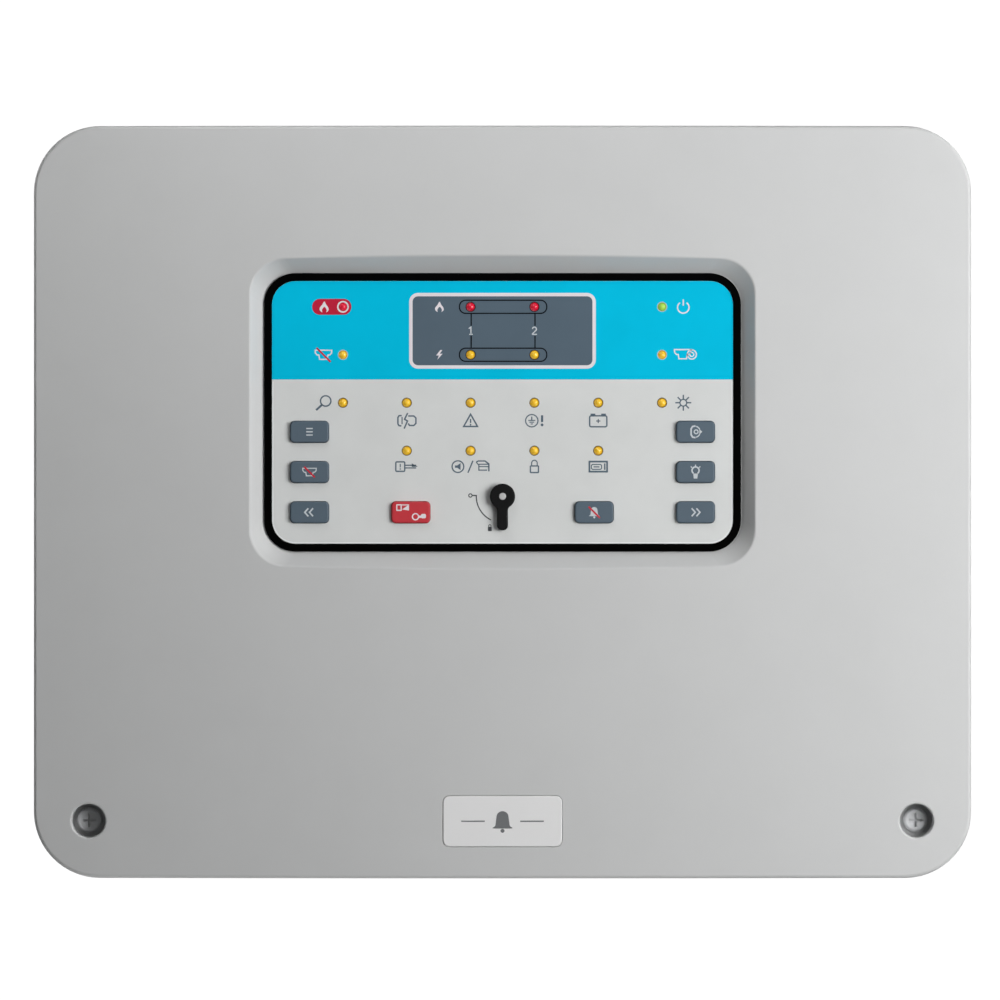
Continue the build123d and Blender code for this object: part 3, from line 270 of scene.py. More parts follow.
def linear(colour):
    """A colour given as it shows on a screen, 0 to 255, in linear light."""
    channels = [c / 255 for c in colour]
    return tuple(c / 12.92 if c <= 0.04045 else ((c + 0.055) / 1.055) ** 2.4 for c in channels) + (1.0,)


def shade(colour, factor):
    return tuple(min(1.0, c * factor) for c in colour[:3]) + (1.0,)


def new_material(name, rough, metal=0.0, specular=0.5, coat=0.0):
    material = bpy.data.materials.new(name)
    material.use_nodes = True
    tree = Tree(material)
    tree.shader.inputs["Metallic"].default_value = metal
    tree.shader.inputs["Roughness"].default_value = rough
    tree.shader.inputs["Specular IOR Level"].default_value = specular
    tree.shader.inputs["Coat Weight"].default_value = coat
    tree.shader.inputs["Coat Roughness"].default_value = 0.12
    return material, tree


def moulded(name, colour, rough=0.5, grain_mm=0.35, depth_mm=0.012, mottle=0.03, wear=0.25, round_mm=0.25,
            specular=0.5, coat=0.0):
    """Moulded plastic: spark-eroded grain, faint flow mottle, scuffed edges and uneven gloss."""
    material, tree = new_material(name, rough, specular=specular, coat=coat)
    base = linear(colour)
    flow = tree.noise(22.0, 4, 0.6)
    tint = tree.scale_map(flow, shade(base, 1 - mottle), shade(base, 1 + mottle))
    normal, edge = tree.edges(round_mm)
    scuff = tree.maths("MULTIPLY", edge, tree.remap(tree.noise(2.5, 4, 0.7), 0.40, 0.72, 0.15, 1.0))
    worn = shade(base, 1.25) if sum(base[:3]) > 0.3 else tuple(c + 0.06 for c in base[:3]) + (1.0,)
    tree.feed("Base Color", tree.mix(tree.maths("MULTIPLY", scuff, wear), tint, worn))
    grain = tree.noise(grain_mm, 2, 0.55)
    smears = tree.noise(9.0, 5, 0.65)
    tree.feed("Roughness", tree.remap(smears, 0.3, 0.7, rough - 0.05, rough + 0.06))
    tree.feed("Normal", tree.bump(grain, depth_mm, normal))
    return material


def metal(name, colour, rough=0.3, stretch=(1.0, 1.0, 0.04), line_mm=0.12, tarnish=0.10, metallic=1.0):
    """Drawn, rolled or turned metal: fine directional lines, tarnish in patches and bright edges."""
    material, tree = new_material(name, rough, metal=metallic)
    base = linear(colour)
    normal, edge = tree.edges(0.2)
    patches = tree.scale_map(tree.noise(6.0, 5, 0.6), shade(base, 1 - tarnish), base)
    tree.feed("Base Color", tree.mix(tree.maths("MULTIPLY", edge, 0.5), patches, shade(base, 1.3)))
    lines = tree.noise(line_mm, 3, 0.6, tree.stretched(stretch))
    tree.feed("Roughness", tree.remap(lines, 0.25, 0.75, rough - 0.1, rough + 0.14))
    tree.feed("Normal", tree.bump(lines, 0.006, normal))
    return material


def printed(name, colour, rough=0.5):
    """Screen ink on film: even colour with a trace of texture and slightly uneven gloss."""
    material, tree = new_material(name, rough, specular=0.05)
    base = linear(colour)
    tree.feed("Base Color", tree.scale_map(tree.noise(14.0, 3), shade(base, 0.975), shade(base, 1.025)))
    tree.feed("Roughness", tree.remap(tree.noise(5.0, 4), 0.3, 0.7, rough - 0.04, rough + 0.05))
    tree.feed("Normal", tree.bump(tree.noise(0.22, 2), 0.004))
    return material


def lens(name, colour, glow):
    """Diffused epoxy lamp: milky body, clear skin, and a faint light of its own."""
    material, tree = new_material(name, 0.22, coat=0.6)
    base = linear(colour)
    haze = tree.noise(0.9, 3, 0.6)
    tree.feed("Base Color", tree.scale_map(haze, shade(base, 0.88), shade(base, 1.08)))
    tree.feed("Roughness", tree.remap(tree.noise(0.5, 3), 0.3, 0.7, 0.16, 0.30))
    tree.feed("Normal", tree.bump(haze, 0.01))
    tree.shader.inputs["Emission Color"].default_value = base
    tree.shader.inputs["Emission Strength"].default_value = glow
    tree.shader.inputs["Subsurface Weight"].default_value = 0.25
    tree.shader.inputs["Subsurface Radius"].default_value = (0.0008, 0.0006, 0.0004)
    return material


def circuit_board(name, mask, track, pad, metal_rough=0.35):
    """Laminate under solder mask: raised tracks, ground fill in between, and tinned vias."""
    material, tree = new_material(name, 0.32, specular=0.5, coat=0.35)
    square = tree.voronoi(5.2, metric="CHEBYCHEV")
    fine = tree.voronoi(2.1, metric="MANHATTAN", randomness=0.85)
    lines = tree.maths("PINGPONG", tree.maths("MULTIPLY", square, 3.0), 0.5)
    tracks = tree.remap(lines, 0.20, 0.26)
    weave = tree.noise(0.5, 2)
    green = tree.mix(tracks, linear(mask), linear(track))
    vias = tree.remap(tree.voronoi(4.1, randomness=0.9), 0.11, 0.09)
    holes = tree.remap(tree.voronoi(4.1, randomness=0.9), 0.05, 0.04)
    speckle = tree.scale_map(fine, (0.96, 0.96, 0.96, 1), (1.0, 1.0, 1.0, 1))
    multiply = tree.tree.nodes.new("ShaderNodeMix")
    multiply.data_type = "RGBA"
    multiply.blend_type = "MULTIPLY"
    multiply.inputs["Factor"].default_value = 1.0
    colour_inputs = [s for s in multiply.inputs if s.type == "RGBA"]
    tree.link(green, colour_inputs[0])
    tree.link(speckle, colour_inputs[1])
    body = next(s for s in multiply.outputs if s.type == "RGBA")
    tinned = tree.mix(vias, body, linear(pad))
    tree.feed("Base Color", tree.mix(holes, tinned, (0.01, 0.01, 0.01, 1)))
    tree.feed("Metallic", tree.maths("SUBTRACT", vias, holes))
    tree.feed("Roughness", tree.remap(weave, 0.3, 0.7, metal_rough - 0.08, metal_rough + 0.06))
    height = tree.maths("ADD", tree.maths("MULTIPLY", tracks, 0.8), tree.maths("MULTIPLY", weave, 0.25))
    normal, _ = tree.edges(0.15)
    tree.feed("Normal", tree.bump(height, 0.03, normal))
    return material


def ribbon_finish(name, low_x, high_x, cores):
    """Flat cable: a groove between each two cores, and one edge core marked red."""
    material, tree = new_material(name, 0.45)
    across = tree.remap(tree.part_of(tree.coordinates, "X"), low_x, high_x, 0.0, float(cores))
    inside = tree.maths("PINGPONG", across, 0.5)
    grey = tree.scale_map(tree.noise(8.0, 3), linear((140, 143, 146)), linear((156, 158, 160)))
    groove = tree.mix(tree.remap(inside, 0.02, 0.14), linear((104, 106, 110)), grey)
    marked = tree.maths("LESS_THAN", across, 1.0)
    tree.feed("Base Color", tree.mix(marked, groove, linear((172, 38, 36))))
    tree.feed("Roughness", tree.remap(tree.noise(3.0, 3), 0.3, 0.7, 0.38, 0.52))
    tree.feed("Normal", tree.bump(tree.remap(inside, 0.0, 0.5), 0.12))
    return material


def striped_vinyl(name, colour, stripe):
    """Vinyl insulation with a coloured stripe that winds along the wire."""
    material, tree = new_material(name, 0.34, specular=0.5, coat=0.1)
    base = linear(colour)
    body = tree.scale_map(tree.noise(5.0, 3), shade(base, 0.92), shade(base, 1.06))
    winding = tree.maths("ADD", tree.part_of(tree.coordinates, "X"), tree.part_of(tree.coordinates, "Z"))
    turns = tree.maths("PINGPONG", tree.maths("MULTIPLY", winding, 1 / (5.0 * MM)), 0.5)
    tree.feed("Base Color", tree.mix(tree.remap(turns, 0.30, 0.33), body, linear(stripe)))
    tree.feed("Roughness", tree.remap(tree.noise(2.0, 3), 0.3, 0.7, 0.28, 0.42))
    tree.feed("Normal", tree.bump(tree.noise(0.8, 2), 0.01))
    return material


def vinyl(name, colour):
    return moulded(name, colour, rough=0.34, grain_mm=0.9, depth_mm=0.01, mottle=0.05, wear=0.08, coat=0.1)


def make_finishes():
    """One finish for each material slot of the record, and the extra ones for prints and small parts."""
    low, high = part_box("ribbon_cable")
    kinds = {
        "cover_plastic": (moulded, (207, 208, 208), 0.47, 0.30, 0.008, 0.012, 0.18, 0.30),
        "box_plastic": (moulded, (196, 197, 196), 0.52, 0.45, 0.016, 0.02, 0.22, 0.30),
        "black_plastic": (moulded, (2, 2, 2), 0.6, 0.4, 0.008, 0.05, 0.02, 0.2, 0.02),
        "overlay_film": (printed, (222, 224, 223), 0.5),
        "led_yellow": (lens, (232, 186, 46), 0.30),
        "led_red": (lens, (205, 22, 52), 0.35),
        "led_green": (lens, (158, 202, 74), 0.30),
        "circuit_board": (circuit_board, (14, 84, 44), (32, 116, 62), (196, 192, 180)),
        "supply_laminate": (circuit_board, (150, 118, 66), (120, 92, 52), (200, 196, 182)),
        "zinc_steel": (metal, (230, 231, 233), 0.42, (1.0, 1.0, 0.04), 0.12, 0.10, 0.5),
        "stainless_steel": (metal, (188, 188, 190), 0.22, (0.04, 1, 1)),
        "brass": (metal, (206, 170, 92), 0.28, (1, 0.05, 1)),
        "tinned_brass": (metal, (204, 202, 194), 0.26),
        "supply_aluminium": (metal, (190, 193, 197), 0.36, (0.03, 1, 1), 0.2),
        "key_plastic": (moulded, (14, 14, 15), 0.45, 0.35, 0.008, 0.05, 0.10, 0.2, 0.2),
        "key_dot": (moulded, (196, 196, 196), 0.4, 0.3, 0.006, 0.02, 0.1, 0.1),
        "chip_plastic": (moulded, (28, 28, 30), 0.62, 0.25, 0.012, 0.04, 0.1, 0.1),
        "socket_plastic": (moulded, (34, 34, 38), 0.55, 0.5, 0.015, 0.04, 0.15, 0.15),
        "badge_plastic": (moulded, (241, 241, 241), 0.36, 0.5, 0.004, 0.01, 0.12, 0.2),
        "nylon": (moulded, (228, 224, 212), 0.5, 0.6, 0.01, 0.03, 0.1, 0.1),
        "battery_case": (moulded, (52, 54, 58), 0.5, 0.6, 0.02, 0.05, 0.3, 0.4),
        "terminal_plastic": (moulded, (40, 142, 84), 0.5, 0.5, 0.012, 0.04, 0.12, 0.15),
        "relay_plastic": (moulded, (40, 78, 142), 0.42, 0.6, 0.01, 0.03, 0.12, 0.2),
        "capacitor_sleeve": (vinyl, (32, 36, 48)),
        "fuse_cover": (moulded, (30, 30, 30), 0.45, 0.5, 0.012, 0.04, 0.12, 0.2),
        "transformer_tape": (moulded, (214, 180, 60), 0.35, 3.0, 0.05, 0.08, 0.1, 0.2),
        "mains_plastic": (moulded, (226, 224, 214), 0.48, 0.5, 0.012, 0.02, 0.12, 0.2),
        "key_slate": (moulded, (88, 104, 117), 0.5, 0.25, 0.008, 0.02, 0.10, 0.2, 0.4),
        "key_red": (moulded, (206, 54, 64), 0.48, 0.25, 0.008, 0.02, 0.10, 0.2, 0.4),
        "red_insulation": (vinyl, (196, 32, 28)),
        "black_insulation": (vinyl, (26, 26, 27)),
        "brown_insulation": (vinyl, (108, 60, 34)),
        "blue_insulation": (vinyl, (42, 92, 186)),
        "earth_insulation": (striped_vinyl, (74, 150, 54), (222, 206, 52)),
        "ribbon_grey": (ribbon_finish, low.x, high.x, RIBBON_CORES),
        "ink_cyan": (printed, (0, 196, 234)),
        "ink_slate": (printed, (90, 106, 119)),
        "ink_white": (printed, (236, 230, 234)),
        "ink_pale": (printed, (206, 212, 216)),
        "ink_icon": (printed, (92, 108, 122)),
        # black print lines, and also painted shade: the black rings for the gaps round the zone lamps
        "black_ink_and_gap_shade": (printed, (22, 24, 28)),
        # painted shade: dark rings that stand for the shadowed gaps round the lamp domes on the grey
        "painted_lamp_gap_shade": (printed, (92, 84, 56)),
        "ink_red": (printed, (196, 38, 64)),
        "ink_slash": (printed, (208, 54, 68)),
        "ink_line": (printed, (78, 80, 84)),
        # painted highlight: the light line that stands for the lit lower edge of the overlay
        "painted_rim_highlight": (printed, (240, 243, 243)),
        "ink_grey": (printed, (120, 122, 124)),
        "paper_label": (printed, (214, 216, 212), 0.6),
        "label_band": (printed, (74, 108, 150), 0.6),
        "solder": (metal, (206, 206, 204), 0.30, (1, 1, 1), 0.4),
        "ceramic": (moulded, (150, 128, 104), 0.5, 0.2, 0.006, 0.06, 0.1, 0.05),
        "resin": (moulded, (24, 24, 26), 0.5, 0.2, 0.006, 0.06, 0.1, 0.05),
        "tie_nylon": (moulded, (224, 224, 220), 0.45, 0.4, 0.008, 0.03, 0.1, 0.08),
    }
    return {name: kind(name, *settings) for name, (kind, *settings) in kinds.items()}


RIBBON_CORES = 26
finish = make_finishes()


def paint_cad_nodes():
    """Each CAD node gets the finish of its record slot."""
    for entry in frame["record"]["subparts"]:
        obj = frame["nodes"][entry["node"]]
        obj.data.materials.clear()
        obj.data.materials.append(finish[entry["material_slot"]])


# ---------------------------------------------------------------- flat shapes, in millimetres
def arc(x, z, radius, start, end, steps=16):
    """Points on an arc from start to end, in degrees anticlockwise from +X."""
    angles = [math.radians(start + (end - start) * i / steps) for i in range(steps + 1)]
    return [(x + radius * math.cos(a), z + radius * math.sin(a)) for a in angles]


def circle(x, z, radius, steps=40):
    return arc(x, z, radius, 0, 360, steps)[:-1]


def rounded(x, z, width, height, radius):
    """A rectangle about x, z with rounded corners, anticlockwise."""
    w, h = width / 2 - radius, height / 2 - radius
    corners = [(x + w, z + h, 0), (x - w, z + h, 90), (x - w, z - h, 180), (x + w, z - h, 270)]
    return [p for cx, cz, start in corners for p in arc(cx, cz, radius, start, start + 90, 8)]


def ring(x, z, radius, line):
    return [circle(x, z, radius), circle(x, z, radius - line)]


def hollow(x, z, width, height, radius, line):
    """A rounded rectangle drawn as a line."""
    inner = rounded(x, z, width - 2 * line, height - 2 * line, max(0.05, radius - line))
    return [rounded(x, z, width, height, radius), inner]


def stroke(points, width):
    """A line of even width through open points, with mitred corners and square ends."""
    left, right = [], []
    for i, point in enumerate(points):
        here = Vector(point)
        before = here - Vector(points[i - 1]) if i else Vector(points[1]) - here
        after = Vector(points[i + 1]) - here if i < len(points) - 1 else before
        a, b = before.normalized(), after.normalized()
        middle = (a + b).normalized()
        across = Vector((-middle.y, middle.x))
        reach = width / 2 / max(0.35, across.dot(Vector((-a.y, a.x))))
        left.append(tuple(here + across * reach))
        right.append(tuple(here - across * reach))
    return [left + right[::-1]]


def closed_line(points, width):
    """A line of even width round closed points, as an outer and an inner loop."""
    loops = []
    for side in (-1, 1):
        loop = []
        for i, point in enumerate(points):
            here = Vector(point)
            a = (here - Vector(points[i - 1])).normalized()
            b = (Vector(points[(i + 1) % len(points)]) - here).normalized()
            middle = (a + b).normalized()
            across = Vector((-middle.y, middle.x))
            loop.append(tuple(here + across * side * width / 2 / max(0.35, across.dot(Vector((-a.y, a.x))))))
        loops.append(loop)
    return sorted(loops, key=lambda loop: -max(x for x, _ in loop))


def smooth(points, steps=5):
    """A closed curve through the points."""
    made = []
    count = len(points)
    for i in range(count):
        p0, p1, p2, p3 = (Vector(points[(i + k - 1) % count]) for k in range(4))
        for s in range(steps):
            t = s / steps
            made.append(tuple(0.5 * (2 * p1 + (p2 - p0) * t + (2 * p0 - 5 * p1 + 4 * p2 - p3) * t * t
                                     + (3 * p1 - p0 - 3 * p2 + p3) * t**3)))
    return made


def moved(shapes, x, z, scale=1.0):
    return [[[(x + px * scale, z + pz * scale) for px, pz in loop] for loop in loops] for loops in shapes]


INK = 0.02  # thickness of a print, and the step between one print and the next


def film(name, shapes, body, material, surface_y, level=1):
    """A thin layer on the face at surface_y: a print, or painted shade or highlight. Each shape is a list of
    loops, its outline first.
    """
    front = surface_y - level * INK * MM
    back = front + INK * MM * 0.9
    vertices, faces = [], []
    for loops in shapes:
        start, count = len(vertices), sum(len(loop) for loop in loops)
        for y in (front, back):
            vertices += [(x * MM, y, z * MM) for loop in loops for x, z in loop]
        for triangle in tessellate_polygon([[Vector((x, z, 0)) for x, z in loop] for loop in loops]):
            faces.append([start + i for i in triangle])
            faces.append([start + count + i for i in reversed(triangle)])
        offset = start
        for loop in loops:
            for i in range(len(loop)):
                a, b = offset + i, offset + (i + 1) % len(loop)
                faces.append([a, b, b + count, a + count])
            offset += len(loop)
    return add_piece(name, vertices, faces, body, material)


def add_piece(name, vertices, faces, body, material):
    mesh = bpy.data.meshes.new(name)
    mesh.from_pydata(vertices, [], faces)
    work = bmesh.new()
    work.from_mesh(mesh)
    bmesh.ops.recalc_face_normals(work, faces=work.faces)
    work.to_mesh(mesh)
    work.free()
    obj = bpy.data.objects.new(name, mesh)
    bpy.context.scene.collection.objects.link(obj)
    mesh.materials.append(finish[material])
    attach(obj, body)
    return obj


# ---------------------------------------------------------------- pictograms, each about 0, 0
LINE = 0.42


def flame():
    outline = smooth([(0.05, 1.75), (0.65, 0.75), (1.35, -0.25), (1.45, -1.1), (0.75, -1.75), (0.85, -0.95),
                      (0.1, 0.0), (-0.65, -0.95), (-0.6, -1.75), (-1.35, -1.15), (-1.4, -0.3), (-0.65, 0.65)])
    return [[outline]]


def bolt():
    left = [(0.3, 1.6), (-1.1, -0.25), (-0.15, -0.25), (-0.7, -1.7)]
    return [[left + [(1.1, 0.35), (0.15, 0.35), (1.0, 1.6)]]]


def sounder():
    """A ceiling sounder seen from the side: a wide base and a smaller mouth under it."""
    path = [(-2.8, 1.55), (2.8, 1.55), (2.75, 0.6), (2.1, -0.1), (1.5, -0.1), (1.3, -1.55), (-1.3, -1.55),
            (-1.5, -0.1), (-2.1, -0.1), (-2.75, 0.6)]
    return [closed_line(path, LINE)]


def slash(reach=2.2):
    return [stroke([(-reach, reach), (reach, -reach)], 0.6)]


def magnifier():
    return [ring(0.75, 0.6, 2.0, 0.48), stroke([(-0.5, -0.7), (-2.5, -2.5)], 0.7)]


def power_sign():
    return [stroke(arc(0, -0.2, 1.95, 125, 415, 22), LINE), stroke([(0, 0.4), (0, 2.5)], LINE)]


def lamp_rays():
    rays = [ring(0, 0, 1.35, 0.42)]
    for i in range(8):
        a = math.radians(45 * i)
        rays.append(stroke([(r * math.cos(a), r * math.sin(a)) for r in (1.3, 2.7)], 0.46))
    return rays


def exclamation():
    return [stroke([(0, 1.1), (0, -0.35)], 0.46), [circle(0, -0.95, 0.3, 12)]]


def broken_loop():
    """A wiring loop with a break in it."""
    left = [(-1.7, 1.75), (-2.6, 1.7), (-3.0, 1.1), (-3.0, -1.1), (-2.6, -1.7), (-1.8, -1.75)]
    right = [(0.5, 1.6), (2.4, 1.6), (3.1, 0.9), (3.1, -0.9), (2.4, -1.6), (0.9, -1.6), (0.5, -0.9)]
    return [stroke(left, 0.5), stroke(right, 0.5), stroke([(-1.6, 1.3), (-1.6, -1.2)], 0.4),
            stroke([(0.3, 2.6), (-0.75, 0.5), (0.25, -0.1), (-0.9, -2.7)], 0.5)]


def warning():
    """The general fault sign: a triangle with its mark."""
    path = [(0, 2.2), (-2.35, -1.95), (2.35, -1.95)]
    return [closed_line(path, 0.5)] + moved(exclamation(), 0, -0.45, 0.95)


def earth_fault():
    marks = [stroke([(-0.9, 1.4), (-0.9, 0.1)], 0.42)]
    for width, z in ((1.2, 0.1), (0.8, -0.5), (0.4, -1.1)):
        marks.append(stroke([(-0.9 - width, z), (-0.9 + width, z)], 0.34))
    return [ring(-0.9, 0, 2.3, 0.42)] + marks + moved(exclamation(), 2.6, 0.1, 1.6)


def battery_sign():
    posts = [stroke([(x - 0.8, 2.1), (x + 0.8, 2.1)], 0.6) for x in (-1.8, 1.8)]
    return [hollow(0, -0.2, 6.3, 4.2, 0.8, 0.48), stroke([(-0.7, -0.1), (0.7, -0.1)], 0.36),
            stroke([(0, -0.8), (0, 0.6)], 0.36)] + posts


def module():
    """A wall module with its two cores."""
    cores = [stroke([(-0.5, z), (3.2, z)], 0.42) for z in (0.45, -0.45)]
    tip = [[[(1.7, 1.1), (3.8, 0.0), (1.7, -0.1)]]]
    return [hollow(-2.2, 0, 3.5, 3.7, 0.6, 0.48)] + cores + tip + moved(exclamation(), -2.2, 0, 0.85)


def outputs_sign():
    """A ringed horn, a stroke and a drum."""
    horn = [(-5.3, -0.4), (-5.3, 0.4), (-4.5, 0.4), (-3.4, 1.2), (-3.4, -1.2), (-4.5, -0.4)]
    ringed = [ring(-4.3, 0, 2.2, 0.44), [horn]]
    drum = [stroke([(1.9, 1.5), (2.6, 1.9), (4.9, 1.9), (6.2, 0.9), (6.2, -1.6)], 0.46),
            stroke([(1.9, 1.5), (2.5, 0.8), (6.0, 0.8)], 0.36), stroke([(2.8, 0.0), (6.0, 0.0)], 0.36),
            stroke([(2.8, 0.8), (2.8, -1.2), (5.6, -1.2)], 0.4)]
    return ringed + [stroke([(-0.9, -2.1), (0.8, 2.0)], 0.46)] + drum


def padlock():
    shackle = [(-0.95, 0.4), (-0.95, 1.2)] + arc(0, 1.2, 0.95, 165, 15, 8) + [(0.95, 1.2), (0.95, 0.4)]
    return [hollow(0, -0.9, 3.2, 2.7, 0.4, 0.46), stroke(shackle, 0.4)]


def small_padlock():
    """A closed padlock, filled."""
    shackle = [(-0.4, 0.3), (-0.4, 0.6)] + arc(0, 0.6, 0.4, 150, 30, 6) + [(0.4, 0.6), (0.4, 0.3)]
    return [[rounded(0, -0.45, 1.3, 1.5, 0.15)], stroke(shackle, 0.24)]


def card():
    return [hollow(0, 0, 6.6, 4.0, 0.2, 0.6), hollow(-0.6, -0.1, 3.8, 2.0, 0.7, 0.36),
            stroke([(-1.6, -0.1), (0.4, -0.1)], 0.4), stroke([(2.2, 1.1), (2.2, -1.1)], 0.5)]


def chevrons(direction):
    """Two chevrons that point to the left for -1 and to the right for 1."""
    shapes = []
    for x in (-0.85, 0.75):
        tip = x + direction * 0.75
        back = x - direction * 0.45
        shapes.append(stroke([(back, 1.35), (tip, 0.0), (back, -1.35)], 0.5))
    return shapes


def bars():
    """Three short bars, for the function key."""
    return [stroke([(-1.1, z), (1.1, z)], 0.42) for z in (1.1, 0.0, -1.1)]


def door_sign():
    """A door leaf with a disc and an arrow head, for the reset key."""
    leaf = [(0.0, 2.0), (-1.0, 1.8), (-1.5, 1.0), (-1.5, -1.0), (-1.0, -1.8), (0.0, -2.0)]
    arcs = [stroke(arc(-0.3, 0, 1.9, start, start + 50, 6), 0.4) for start in (-75, 25)]
    return [stroke(leaf, 0.55), *arcs, ring(0.2, 0, 0.85, 0.4), [[(1.3, 0.9), (2.3, 0.0), (1.3, -0.9)]]]


def bulb():
    glass = arc(0, 0.55, 1.2, -55, 235, 16)
    rays = [stroke([(0, 1.9), (0, 2.5)], 0.4), stroke([(-1.2, 1.5), (-1.6, 1.9)], 0.36),
            stroke([(1.2, 1.5), (1.6, 1.9)], 0.36)]
    base = [[(-0.8, -0.5), (0.8, -0.5), (0.6, -2.2), (-0.6, -2.2)]]
    return [stroke(glass, 0.5), base] + rays


def bell():
    right = [(0.9, 1.35), (1.15, 0.2), (1.3, -0.8), (1.75, -1.25)]
    left = [(-x, z) for x, z in reversed(right)]
    outline = smooth([(0, 1.8)] + right + [(0, -1.3)] + left)
    return [[outline], [circle(0, -1.7, 0.36, 16)]]


def outputs_on():
    """A horn on its box, above a lamp on its cable: the two outputs that the red key starts."""
    horn = [hollow(-4.0, 1.6, 1.9, 2.3, 0.3, 0.42), [[(-2.8, 1.1), (-0.6, 2.6), (-0.6, 0.6), (-2.8, 0.9)]],
            stroke([(-3.2, 2.5), (-0.6, 2.5)], 0.34)]
    lamp = [ring(1.6, -1.5, 1.25, 0.42), stroke([(2.8, -1.5), (3.5, -1.5)], 0.8),
            [rounded(4.3, -1.3, 1.7, 1.5, 0.5)]]
    return horn + lamp


def digit(number):
    """The zone numbers 1 and 2."""
    if number == 1:
        upright = stroke([(-0.6, 0.75), (0.1, 1.25), (0.1, -1.3)], 0.4)
        return [upright, stroke([(-0.5, -1.2), (0.7, -1.2)], 0.36)]
    curve = [(-0.75, 0.7)] + arc(0, 0.55, 0.7, 165, -20, 8) + [(-0.75, -1.1)]
    return [stroke(curve, 0.38), stroke([(-0.85, -1.2), (0.85, -1.2)], 0.38)]


# ---------------------------------------------------------------- the printed display
SPACER_R = 2.1
low, high = (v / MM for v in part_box("led_spacers"))
PITCH_X = (high.x - low.x - 2 * SPACER_R) / 5
PITCH_Z = (high.z - low.z - 2 * SPACER_R) / 3
COLUMNS = [low.x + SPACER_R + i * PITCH_X for i in range(6)]
ROWS = [high.z - SPACER_R - j * PITCH_Z for j in range(4)]
LAMPS = {0: (0, 2, 3, 5), 1: (0, 2, 3, 5), 2: (0, 1, 2, 3, 4, 5), 3: (1, 2, 3, 4)}
LAMP_HOLE = 1.50
RING_R = 1.72
low, high = (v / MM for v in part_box("overlay_panel"))
PANEL_X, PANEL_Z = (low.x + high.x) / 2, (low.z + high.z) / 2
PANEL_W, PANEL_H, PANEL_R = high.x - low.x, high.z - low.z, 8.0
FACE_Y = low.y * MM
BAND_Z = high.z - 33.4
ZONE_W, ZONE_H, ZONE_LINE = 63.3, 25.7, 1.15
ZONE_Z = (ROWS[0] + ROWS[1]) / 2


def band_outline():
    """The cyan top of the overlay, with the rounded corners of the plate."""
    inset = 0.02
    w, top = PANEL_W / 2 - inset, PANEL_Z + PANEL_H / 2 - inset
    left = arc(PANEL_X - w + PANEL_R, top - PANEL_R, PANEL_R, 90, 180, 12)
    right = arc(PANEL_X + w - PANEL_R, top - PANEL_R, PANEL_R, 0, 90, 12)
    return [(PANEL_X + w, BAND_Z)] + right + left + [(PANEL_X - w, BAND_Z)]


def lamp_holes(rows, columns=range(6)):
    return [circle(COLUMNS[i], ROWS[j], LAMP_HOLE, 28) for j in rows for i in LAMPS[j] if i in columns]


